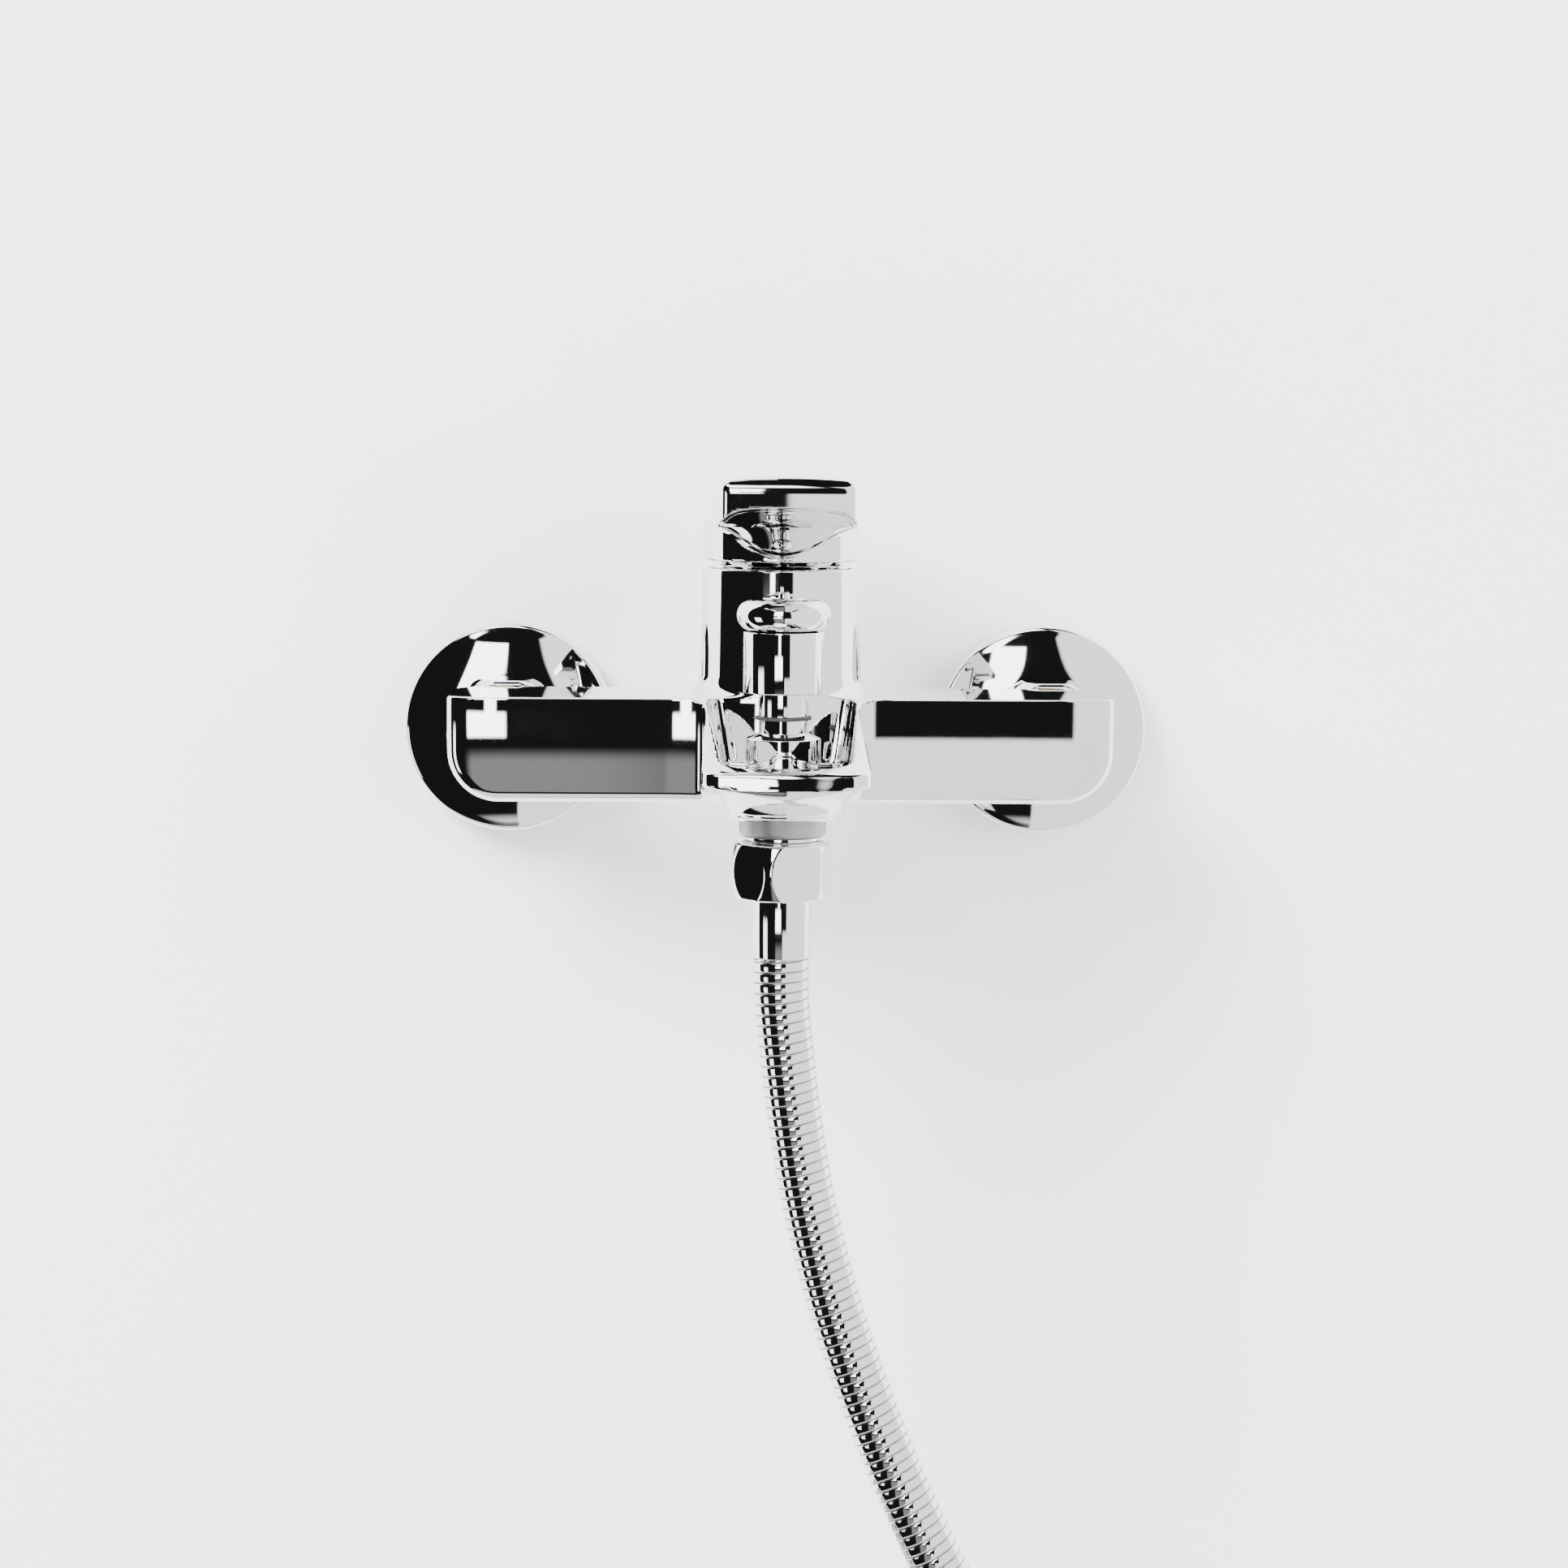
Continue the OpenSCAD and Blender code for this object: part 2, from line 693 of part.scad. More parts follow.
module diverter_knob() {
  side_r = 4.1;
  flat_r = knob_d / 2 - side_r;
  color("silver") at_diverter() difference() {
    rotate_extrude() union() {
      translate([0, knob_bottom]) square([flat_r, knob_top - knob_bottom]);
      translate([flat_r, (knob_top + knob_bottom) / 2]) intersection() {
        circle(r = side_r);
        translate([-0.5, -side_r]) square([side_r + 1, 2 * side_r]);
      }
    }
    translate([0, 0, knob_bottom - eps]) cylinder(r = stem_r, h = knob_socket_l + eps);
    translate([0, 0, knob_bottom]) cylinder(r = cap_screw_r, h = 20);
  }
}

module knob_cap_screw() {
  color("silver") at_diverter() {
    translate([0, 0, knob_top - cap_screw_l]) cylinder(r = cap_screw_r - gap, h = cap_screw_l);
    translate([0, 0, knob_top]) cylinder(r1 = 1.6, r2 = 1.1, h = 1.2);
  }
}

// The stem runs from the knob through the spool to the disc that closes the shower's port
// when the knob is down
module diverter_stem() {
  spool_bottom = spool_top - spool_h;
  stem_top = knob_bottom + knob_socket_l - 0.1;
  nub_l = 1.6;
  color("goldenrod") at_diverter() difference() {
    union() {
      translate([0, 0, spool_bottom]) cylinder(r = stem_r, h = stem_top - spool_bottom);
      translate([0, 0, poppet_top - poppet_h]) cylinder(r = poppet_r, h = poppet_h);
      translate([0, 0, poppet_top - poppet_h - nub_l])
        cylinder(r = stem_foot_r, h = spool_bottom - poppet_top + poppet_h + nub_l + eps);
    }
    translate([0, 0, knob_top - cap_screw_l - 0.1]) cylinder(r = cap_screw_r, h = 10);
  }
}

// The open ring that covers the spout's port when the knob is up
module diverter_spool() {
  ring_wall = 1.5;
  hub_r = stem_r + 1.2;
  spoke_w = 1.6;
  spool_bottom = spool_top - spool_h;
  color("goldenrod") at_diverter() difference() {
    union() {
      tube(spool_r, spool_r - ring_wall, spool_bottom, spool_top);
      for (a = [90, 210, 330]) rotate(a)
        translate([hub_r - 0.6, -spoke_w / 2, spool_bottom + 0.5])
          cube([spool_r - 0.5 - hub_r, spoke_w, spool_h - 1]);
      translate([0, 0, spool_bottom]) cylinder(r = hub_r, h = spool_h);
    }
    translate([0, 0, spool_bottom - eps]) cylinder(r = stem_r, h = spool_h + 2 * eps);
  }
}

module spool_washer() {
  top = poppet_top - poppet_h;
  color("black") at_diverter() tube(poppet_r - 0.2, stem_foot_r, top - poppet_washer_h, top);
}

// ---- Outlets ----

module at_aerator() {
  translate([0, -aerator_axis, 0]) children();
}

module aerator_housing() {
  color("silver") at_aerator() difference() {
    union() {
      translate([0, 0, aerator_bottom]) cylinder(r = aerator_bore_r, h = aerator_h);
      translate([0, 0, aerator_bottom - 0.8]) cylinder(r = aerator_ring_r, h = 0.8);
    }
    translate([0, 0, aerator_bottom - 1]) cylinder(r = 9.6, h = 12);
  }
}

module aerator_insert() {
  color("dimgray") at_aerator() difference() {
    translate([0, 0, aerator_bottom - 0.4]) cylinder(r = 9.55, h = aerator_h);
    for (x = [-6:3:6], y = [-6:3:6])
      if (norm([x, y]) < 8.2) translate([x, y, aerator_bottom - 1]) cylinder(r = 1, h = 9);
  }
}

module aerator_seal() {
  seal_bottom = aerator_bottom + aerator_h;
  color("black") at_aerator() tube(10.6, 7.5, seal_bottom, seal_bottom + aerator_seal_h);
}

module shower_outlet() {
  color("gray") at_diverter() difference() {
    rotate_extrude() polygon([
      [0, outlet_end], [g12_r - 0.6, outlet_end], [g12_r, outlet_end + 0.8],
      [g12_r, hose_nut_top], [9.3, hose_nut_top + 0.1], [9.3, outlet_flange_bottom],
      [outlet_flange_r - 1.2, outlet_flange_bottom], [outlet_flange_r, outlet_flange_bottom + 1.2],
      [outlet_flange_r, keel_bottom], [outlet_spigot_r, keel_bottom], [outlet_spigot_r, -10],
      [0, -10]
    ]);
    translate([0, 0, seat_z]) cylinder(r = outlet_bore_r, h = 60);
    translate([0, 0, outlet_end - eps]) cylinder(r = outlet_throat_r, h = 60);
    translate([-slot_w / 2, -20, spout_slot_z]) cube([slot_w, 20, spout_slot_h]);
  }
}

module hose_washer() {
  color("black") at_diverter() tube(9.8, 5, outlet_end - 2, outlet_end);
}

module hose_nut() {
  inner_end = outlet_end - 3.2;
  color("silver") at_diverter() difference() {
    translate([0, 0, hose_nut_bottom])
      rotate(13) hex_prism(hose_nut_af, hose_nut_top - hose_nut_bottom, 2);
    translate([0, 0, inner_end]) cylinder(r = g12_r + gap, h = 30);
    translate([0, 0, hose_nut_bottom - eps]) cylinder(r = 6.9, h = 30);
  }
}

module hose_insert() {
  flange_top = outlet_end - 2;
  color("goldenrod") at_diverter() difference() {
    union() {
      translate([0, 0, flange_top - 1.1]) cylinder(r = 9.9, h = 1.1);
      translate([0, 0, ferrule_end + 4]) cylinder(r = 6, h = flange_top - ferrule_end - 4);
    }
    translate([0, 0, -80]) cylinder(r = hose_bore_r, h = 80);
  }
}

module hose_ferrule() {
  color("silver") at_diverter()
    tube(ferrule_r, 6 + gap, ferrule_end, hose_nut_bottom - 0.1);
}

// ---- Hose ----

module hose_tube() {
  color("silver") at_diverter() swept_tube(hose_route, hose_d / 2, 12);
}

module hose_coil() {
  r = hose_d / 2;
  color("silver") translate([coil_x, coil_y - coil_w / 2, coil_z]) rotate([-90, 0, 0])
    rotate_extrude() translate([coil_r, 0]) union() {
      translate([-r, r]) square([2 * r, coil_w - 2 * r]);
      translate([0, r]) circle(r = r);
      translate([0, coil_w - r]) circle(r = r);
    }
}

// The last stretch hangs straight down from the coil's right side
module hose_tail() {
  color("silver") translate([tail_x, tail_y, end_ferrule_z])
    cylinder(r = hose_d / 2, h = tail_l - 12);
}

// A strap round the bundle of turns, just below where the hose joins it
module coil_tie() {
  strap_t = 1.6;
  strap_w = 9;
  tie_angle = 24;
  inner_r = hose_d / 2 + 0.15;
  inner_w = coil_w + 0.3;
  color("dimgray") translate([coil_x, coil_y, coil_z]) rotate([0, -tie_angle, 0])
    translate([coil_r, 0, -strap_w / 2]) linear_extrude(strap_w) difference() {
      square([2 * (inner_r + strap_t), inner_w + 2 * strap_t], center = true);
      square([2 * inner_r, inner_w], center = true);
    }
}

module at_tail(z) {
  translate([tail_x, tail_y, z]) children();
}

module hose_end_ferrule() {
  color("silver") at_tail(end_nut_z) difference() {
    cylinder(r = ferrule_r, h = end_ferrule_l);
    translate([0, 0, -eps]) cylinder(r = 6 + gap, h = end_ferrule_l + 1);
  }
}

module hose_end_insert() {
  color("goldenrod") at_tail(end_nut_z) difference() {
    union() {
      translate([0, 0, -12]) cylinder(r = 6, h = 12 + end_ferrule_l - 3);
      translate([0, 0, -13.1]) cylinder(r = 9.9, h = 1.1);
    }
    translate([0, 0, -20]) cylinder(r = hose_bore_r, h = 60);
  }
}

// The conical nut that a hand shower screws into
module hose_end_nut() {
  color("silver") at_tail(end_nut_z - end_nut_l) difference() {
    rotate_extrude() polygon([
      [0, 0], [11.6, 0], [12.2, 0.8], [12.2, 6], [8.4, end_nut_l - 0.4], [0, end_nut_l - 0.4]
    ]);
    translate([0, 0, -eps]) cylinder(r = g12_r + gap, h = 8.9 + eps);
    cylinder(r = 10, h = 10);
    cylinder(r = 6.3, h = 40);
  }
}

mixer_body();
at_inlet(-1) eccentric_union();  // eccentric_union_left
at_inlet(1) eccentric_union();  // eccentric_union_right
at_inlet(-1) escutcheon();  // escutcheon_left
at_inlet(1) escutcheon();  // escutcheon_right
at_inlet(-1) union_nut();  // union_nut_left
at_inlet(1) union_nut();  // union_nut_right
at_inlet(-1) union_washer();  // union_washer_left
at_inlet(1) union_washer();  // union_washer_right
at_inlet(-1) union_spigot();  // union_spigot_left
at_inlet(1) union_spigot();  // union_spigot_right
cartridge_housing();
cartridge_base_seals();
fixed_ceramic_disc();
moving_ceramic_disc();
disc_coupler();
stem_rotor();
stem_pin();
cartridge_stem();
cartridge_nut();
cartridge_cover();
lever_handle();
handle_grub_screw();
screw_plug();
diverter_bonnet();
bonnet_snap_ring();
bonnet_oring();
diverter_knob();
knob_cap_screw();
diverter_sleeve();
diverter_stem();
diverter_spool();
spool_washer();
aerator_housing();
aerator_insert();
aerator_seal();
shower_outlet();
hose_washer();
hose_nut();
hose_insert();
hose_ferrule();
hose_tube();
hose_coil();
hose_tail();
coil_tie();
hose_end_ferrule();
hose_end_insert();
hose_end_nut();
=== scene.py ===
"""Looks of a wall mounted bath faucet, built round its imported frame.

The shape functions work in millimetres, with x to the right, d out from the wall and z up.
Pieces go into the scene in metres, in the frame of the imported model, where y is -d.
"""
import json
import math

import bmesh
import bpy
import numpy as np
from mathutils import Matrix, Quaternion, Vector


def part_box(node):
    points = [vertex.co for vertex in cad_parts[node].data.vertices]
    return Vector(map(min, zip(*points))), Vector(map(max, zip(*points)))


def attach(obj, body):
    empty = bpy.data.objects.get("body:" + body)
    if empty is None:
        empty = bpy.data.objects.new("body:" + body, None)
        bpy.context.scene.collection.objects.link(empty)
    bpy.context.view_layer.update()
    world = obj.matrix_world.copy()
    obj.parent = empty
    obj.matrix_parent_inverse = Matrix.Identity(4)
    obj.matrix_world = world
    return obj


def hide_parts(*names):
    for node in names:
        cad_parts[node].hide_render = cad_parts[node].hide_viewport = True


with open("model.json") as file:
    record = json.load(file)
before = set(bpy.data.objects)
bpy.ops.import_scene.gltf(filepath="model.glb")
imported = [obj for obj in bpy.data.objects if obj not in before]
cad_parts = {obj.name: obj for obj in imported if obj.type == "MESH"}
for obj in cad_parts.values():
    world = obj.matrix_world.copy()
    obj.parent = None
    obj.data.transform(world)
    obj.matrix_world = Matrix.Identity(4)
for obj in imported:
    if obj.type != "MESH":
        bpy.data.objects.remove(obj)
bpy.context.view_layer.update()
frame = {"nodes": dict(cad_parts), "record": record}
scene = bpy.context.scene
MM = 0.001


def box_mm(node):
    """Lowest and highest corner of a CAD node, in millimetres."""
    low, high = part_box(node)
    return np.array(low) / MM, np.array(high) / MM


def axis_mm(node):
    """Middle of a CAD node seen from above: x and distance from the wall, in millimetres."""
    low, high = box_mm(node)
    return (low[0] + high[0]) / 2, -(low[1] + high[1]) / 2


# ---- Camera ----

def make_camera():
    """A long lens a metre from the wall, a little above the faucet and left of its middle."""
    data = bpy.data.cameras.new("camera")
    data.sensor_width = 36
    data.lens = 79.8
    camera = bpy.data.objects.new("camera", data)
    scene.collection.objects.link(camera)
    camera.location = (-0.0207, -0.988, 0.091)
    look = Vector((0.0013, -0.058, -0.0108)) - camera.location
    roll = math.radians(0.44)
    camera.rotation_mode = "QUATERNION"
    camera.rotation_quaternion = look.to_track_quat("-Z", "Y") @ Quaternion((0, 0, 1), roll)
    scene.camera = camera


make_camera()


# ---- Materials ----

class Nodes:
    """Short calls for building a node tree."""

    def __init__(self, tree):
        self.tree = tree
        tree.nodes.clear()

    def add(self, kind, **settings):
        made = self.tree.nodes.new(kind)
        for name, value in settings.items():
            setattr(made, name, value)
        return made

    def feed(self, socket, value):
        """Sets a socket to a number or colour, or links it to another node's output."""
        if isinstance(value, bpy.types.NodeSocket):
            self.tree.links.new(value, socket)
        else:
            socket.default_value = value

    def math(self, operation, a, b=0.0):
        made = self.add("ShaderNodeMath", operation=operation)
        self.feed(made.inputs[0], a)
        self.feed(made.inputs[1], b)
        return made.outputs[0]

    def ramp(self, value, low, high, to_low=0.0, to_high=1.0, smooth=False):
        made = self.add("ShaderNodeMapRange")
        made.interpolation_type = "SMOOTHSTEP" if smooth else "LINEAR"
        for name, x in (("Value", value), ("From Min", low), ("From Max", high),
                        ("To Min", to_low), ("To Max", to_high)):
            self.feed(made.inputs[name], x)
        return made.outputs[0]

    def noise(self, scale, detail=3.0, stretch=(1, 1, 1)):
        """A noise over the object's own coordinates. Scale is in bumps per metre."""
        place = self.add("ShaderNodeTexCoord").outputs["Object"]
        mapping = self.add("ShaderNodeMapping")
        self.feed(mapping.inputs["Vector"], place)
        mapping.inputs["Scale"].default_value = stretch
        made = self.add("ShaderNodeTexNoise")
        self.feed(made.inputs["Vector"], mapping.outputs[0])
        made.inputs["Scale"].default_value = scale
        made.inputs["Detail"].default_value = detail
        return made.outputs["Fac"]

    def mix(self, factor, a, b):
        made = self.add("ShaderNodeMix", data_type="RGBA")
        self.feed(made.inputs["Factor"], factor)
        self.feed(made.inputs["A"], a)
        self.feed(made.inputs["B"], b)
        return made.outputs["Result"]

    def bump(self, height, distance, strength=1.0):
        made = self.add("ShaderNodeBump")
        made.inputs["Distance"].default_value = distance
        made.inputs["Strength"].default_value = strength
        self.feed(made.inputs["Height"], height)
        return made.outputs[0]


def material(name, build, **fixed):
    """A Principled material: fixed holds its constant sockets, and build(nodes) gives those that vary."""
    made = bpy.data.materials.new(name)
    made.use_nodes = True
    nodes = Nodes(made.node_tree)
    out = nodes.add("ShaderNodeOutputMaterial")
    shader = nodes.add("ShaderNodeBsdfPrincipled")
    nodes.feed(out.inputs[0], shader.outputs[0])
    for socket, value in fixed.items():
        shader.inputs[socket.replace("_", " ")].default_value = value
    for socket, value in build(nodes).items():
        nodes.feed(shader.inputs[socket.replace("_", " ")], value)
    return made


def grey(value, alpha=1.0):
    return (value, value, value, alpha)


def chrome(nodes):
    """Mirror plate: faint wipe marks in the gloss and a very slight waviness."""
    wiped = nodes.noise(45, 5, (1, 1, 0.35))
    specks = nodes.noise(900, 2)
    haze = nodes.ramp(wiped, 0.35, 0.75, 0.015, 0.05)
    gloss = nodes.math("ADD", haze, nodes.ramp(specks, 0.6, 0.8, 0, 0.03))
    tint = nodes.mix(nodes.ramp(wiped, 0.3, 0.7), (0.83, 0.835, 0.84, 1), (0.79, 0.795, 0.80, 1))
    return {"Base_Color": tint, "Roughness": gloss, "Normal": nodes.bump(nodes.noise(120, 2), 0.00001, 0.5)}


def hose_chrome(nodes):
    """The hose's strip: bright on its crown, and dull down in the grooves, where painted shade darkens its
    colour almost to black.
    """
    depth = nodes.add("ShaderNodeAttribute", attribute_name="groove").outputs["Fac"]
    # Painted shade: the colour falls from bright to near black down in the grooves.
    tint = nodes.mix(depth, grey(0.80), grey(0.03))
    worn = nodes.ramp(nodes.noise(400, 4), 0.3, 0.8, 0.03, 0.10)
    return {"Base_Color": tint, "Roughness": nodes.math("ADD", worn, nodes.math("MULTIPLY", depth, 0.4)),
            "Normal": nodes.bump(nodes.noise(700, 2), 0.00001, 0.5)}


def satin(nodes):
    """Bead-blasted nickel with fine turning marks round it."""
    rings = nodes.noise(120, 3, (0.05, 0.05, 30))
    grain = nodes.noise(4000, 2)
    tint = nodes.mix(grain, grey(0.30), grey(0.42))
    height = nodes.math("ADD", rings, nodes.math("MULTIPLY", grain, 0.5))
    return {"Base_Color": tint, "Roughness": nodes.ramp(rings, 0.3, 0.7, 0.38, 0.52),
            "Normal": nodes.bump(height, 0.00003)}


def turned_brass(nodes):
    """Brass with turning marks and uneven tarnish."""
    rings = nodes.noise(150, 2, (0.05, 0.05, 25))
    stain = nodes.noise(90, 4)
    tint = nodes.mix(nodes.ramp(stain, 0.3, 0.7), (0.78, 0.60, 0.30, 1), (0.62, 0.44, 0.19, 1))
    return {"Base_Color": tint, "Roughness": nodes.ramp(stain, 0.3, 0.7, 0.18, 0.34),
            "Normal": nodes.bump(rings, 0.00003)}


def bright_steel(nodes):
    lines = nodes.noise(300, 2, (8, 1, 1))
    return {"Base_Color": nodes.mix(lines, grey(0.48), grey(0.58)),
            "Roughness": nodes.ramp(lines, 0.3, 0.7, 0.2, 0.34), "Normal": nodes.bump(lines, 0.00001)}


def rubber(nodes):
    grain = nodes.noise(2500, 3)
    return {"Base_Color": nodes.mix(grain, grey(0.018), grey(0.035)),
            "Roughness": nodes.ramp(grain, 0.3, 0.7, 0.5, 0.68), "Normal": nodes.bump(grain, 0.00004)}


def white_plastic(nodes):
    flow = nodes.noise(60, 4)
    return {"Base_Color": nodes.mix(flow, (0.84, 0.84, 0.80, 1), (0.90, 0.90, 0.87, 1)),
            "Roughness": nodes.ramp(flow, 0.3, 0.7, 0.36, 0.46),
            "Normal": nodes.bump(nodes.noise(1800, 2), 0.00001)}


def ceramic(nodes):
    grain = nodes.noise(3000, 2)
    return {"Base_Color": nodes.mix(grain, (0.90, 0.88, 0.82, 1), (0.94, 0.93, 0.89, 1)),
            "Roughness": nodes.ramp(grain, 0.3, 0.7, 0.12, 0.2)}


def grey_plastic(nodes):
    grain = nodes.noise(3500, 3)
    return {"Base_Color": nodes.mix(nodes.noise(80, 3), grey(0.17), grey(0.24)),
            "Roughness": nodes.ramp(grain, 0.3, 0.7, 0.42, 0.56), "Normal": nodes.bump(grain, 0.00003)}


FINISHES = {
    "chrome": material("chrome", chrome, Metallic=1.0),
    "hose_spiral": material("hose_spiral", hose_chrome, Metallic=1.0),
    "satin_grey": material("satin_grey", satin, Metallic=1.0),
    "brass": material("brass", turned_brass, Metallic=1.0),
    "steel": material("steel", bright_steel, Metallic=1.0),
    "black_rubber": material("black_rubber", rubber),
    "white_plastic": material("white_plastic", white_plastic),
    "ceramic": material("ceramic", ceramic, Coat_Weight=0.3),
    "grey_plastic": material("grey_plastic", grey_plastic),
}


# ---- Making pieces ----

def add_piece(name, points_mm, faces, body, slot, replaces, normals=None, attributes=None, sharp_deg=35):
    """A mesh from points in (x, d, z) millimetres, riding on a body in place of CAD nodes."""
    points = np.asarray(points_mm, float) * (MM, -MM, MM)
    mesh = bpy.data.meshes.new(name)
    mesh.from_pydata(points.tolist(), [], [list(f)[::-1] for f in faces])
    for key, values in (attributes or {}).items():
        mesh.attributes.new(key, "FLOAT", "POINT").data.foreach_set("value", values)
    mesh.polygons.foreach_set("use_smooth", [True] * len(mesh.polygons))
    if normals is None:
        mesh.set_sharp_from_angle(angle=math.radians(sharp_deg))
    else:
        mesh.normals_split_custom_set_from_vertices((normals * (1, -1, 1)).tolist())
    mesh.materials.append(FINISHES[slot])
    mesh.update()
    piece = bpy.data.objects.new(name, mesh)
    scene.collection.objects.link(piece)
    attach(piece, body)
    if replaces:
        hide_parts(*replaces)
    return piece


def rounded(corners, closed=True, steps=5):
    """An outline through corners (r, h, radius), each turned into an arc of its radius."""
    made = []
    count = len(corners)
    for i, corner in enumerate(corners):
        here = np.array(corner[:2], float)
        radius = corner[2] if len(corner) > 2 else 0
        if radius == 0 or (not closed and i in (0, count - 1)):
            made.append(here)
            continue
        back = np.array(corners[i - 1][:2], float) - here
        on = np.array(corners[(i + 1) % count][:2], float) - here
        back /= np.linalg.norm(back)
        on /= np.linalg.norm(on)
        half = math.acos(np.clip(back @ on, -1, 1)) / 2
        middle = back + on
        centre = here + middle / np.linalg.norm(middle) * radius / math.sin(half)
        reach = radius / math.tan(half)
        start = here + back * reach - centre
        end = here + on * reach - centre
        turn = math.pi - 2 * half
        for k in range(steps + 1):
            t = k / steps
            arm = math.sin((1 - t) * turn) * start + math.sin(t * turn) * end
            made.append(centre + arm / math.sin(turn))
    return made


def lathe(name, outline, middle, along, body, slot, replaces, closed=True, sides=128):
    """Turns an outline of (r, h) round an axis through middle (x, d, z). h runs along "z" or "d"."""
    outline = np.array(outline)
    angles = np.linspace(0, 2 * math.pi, sides, endpoint=False)
    ring = np.stack([np.cos(angles), np.sin(angles)], 1)
    rows = len(outline)
    points = np.zeros((rows, sides, 3))
    across = (0, 1) if along == "z" else (0, 2)
    points[:, :, across[0]] = outline[:, :1] * ring[:, 0]
    points[:, :, across[1]] = outline[:, :1] * ring[:, 1]
    points[:, :, 2 if along == "z" else 1] = outline[:, 1:]
    points += np.array(middle, float)
    faces = []
    for i in range(rows if closed else rows - 1):
        a, b = i * sides, (i + 1) % rows * sides
        for k in range(sides):
            m = (k + 1) % sides
            faces.append((a + k, a + m, b + m, b + k))
    piece = add_piece(name, points.reshape(-1, 3), faces, body, slot, replaces)
    tidy_mesh(piece.data)
    return piece


def tidy_mesh(mesh, sharp_deg=35):
    """Joins points that coincide, drops the empty faces they leave and turns every face outward."""
    made = bmesh.new()
    made.from_mesh(mesh)
    bmesh.ops.remove_doubles(made, verts=made.verts, dist=1e-7)
    bmesh.ops.dissolve_degenerate(made, edges=made.edges, dist=1e-8)
    bmesh.ops.recalc_face_normals(made, faces=made.faces)
    made.to_mesh(mesh)
    made.free()
    mesh.set_sharp_from_angle(angle=math.radians(sharp_deg))


# ---- Shapes given by a distance ----
# A shape is a function of x, d and z that is below zero inside it and grows by about 1 a millimetre.

def both(a, b, r=0.0):
    """What lies in both shapes, with the edge between them rounded to a radius."""
    return np.minimum(-r, np.maximum(a, b)) + np.hypot(np.maximum(r + a, 0), np.maximum(r + b, 0))


def either(a, b, r=0.0):
    """What lies in either shape, with a hollow fillet of a radius between them."""
    return -both(-a, -b, r)


def without(a, b, r=0.0):
    """What lies in a and not in b, with a rounded edge."""
    return both(a, -b, r)


def between(value, low, high):
    return np.maximum(low - value, value - high)


def step(t):
    """Rises smoothly from 0 to 1 as t does."""
    t = np.clip(t, 0, 1)
    return t * t * (3 - 2 * t)


def disc(x, d, middle, r):
    return np.hypot(x - middle[0], d - middle[1]) - r


def samples(low, high, pitch, fine=()):
    """Places from low to high a pitch apart, closer inside the bands (from, to, pitch) of fine."""
    scale = 1
    made = [low]
    while made[-1] < high:
        here = made[-1]
        steps = [p for a, b, p in fine if a - 1e-6 <= here < b - 1e-6]
        ahead = [a for a, _, _ in fine if a > here + 1e-6]
        made.append(min([here + scale * min(steps + [pitch])] + ahead))
    return np.array(made)


def surface_net(field, sizes):
    """Points and quads of the surface where a sampled field is zero, as a dual mesh of its grid."""
    cells = np.array(field.shape) - 1
    total = np.zeros((int(cells.prod()), 3))
    count = np.zeros(int(cells.prod()))
    quads = []
    for axis in range(3):
        u, v = (axis + 1) % 3, (axis + 2) % 3
        near, far = [slice(None)] * 3, [slice(None)] * 3
        near[axis], far[axis] = slice(0, -1), slice(1, None)
        a_all, b_all = field[tuple(near)], field[tuple(far)]
        at = np.argwhere((a_all < 0) != (b_all < 0))
        a, b = a_all[tuple(at.T)], b_all[tuple(at.T)]
        crossing = at.astype(float)
        crossing[:, axis] += a / (a - b)
        ring = []
        for du, dv in ((-1, -1), (0, -1), (0, 0), (-1, 0)):
            cell = at.copy()
            cell[:, u] += du
            cell[:, v] += dv
            ring.append(np.ravel_multi_index(cell.T, cells))
        ring = np.stack(ring, 1)
        for k in range(3):
            total[:, k] += np.bincount(ring.ravel(), np.repeat(crossing[:, k], 4), len(count))
        count += np.bincount(ring.ravel(), minlength=len(count))
        ring[a > 0] = ring[a > 0][:, ::-1]
        quads.append(ring)
    used = np.flatnonzero(count)
    renumber = np.zeros(len(count), int)
    renumber[used] = np.arange(len(used))
    points = total[used] / count[used, None]
    points = np.stack([np.interp(points[:, k], np.arange(len(sizes[k])), sizes[k]) for k in range(3)], 1)
    return points, renumber[np.concatenate(quads)]


def slope(shape, points, reach=0.04):
    """Direction in which a shape's distance grows fastest."""
    made = np.zeros_like(points)
    for k in range(3):
        ahead, behind = points.copy(), points.copy()
        ahead[:, k] += reach
        behind[:, k] -= reach
        made[:, k] = (shape(*ahead.T) - shape(*behind.T)) / (2 * reach)
    return made


def carve(name, shape, sizes, body, slot, replaces):
    """A smooth mesh of a shape sampled on a grid, with normals from the shape itself."""
    field = shape(*np.meshgrid(*sizes, indexing="ij", sparse=True))
    points, quads = surface_net(field, sizes)
    reach = 0.35 * min(np.diff(size).min() for size in sizes)
    for _ in range(5):
        away = slope(shape, points)
        steepness = np.maximum((away ** 2).sum(1), 0.2)
        move = np.clip(shape(*points.T) / steepness, -reach, reach)
        points -= move[:, None] * away
    normals = slope(shape, points)
    normals /= np.maximum(np.linalg.norm(normals, axis=1, keepdims=True), 1e-9)
    return add_piece(name, points, quads, body, slot, replaces, normals)


# ---- Driving sizes, from the frame ----

body_low, body_high = box_mm("mixer_body")
handle_low, handle_high = box_mm("lever_handle")
tower = axis_mm("cartridge_cover")
diverter = axis_mm("diverter_bonnet")
outlet = axis_mm("aerator_housing")
inlet_x = axis_mm("union_nut_right")[0]


# ---- Body: bar, tower and spout in one casting ----

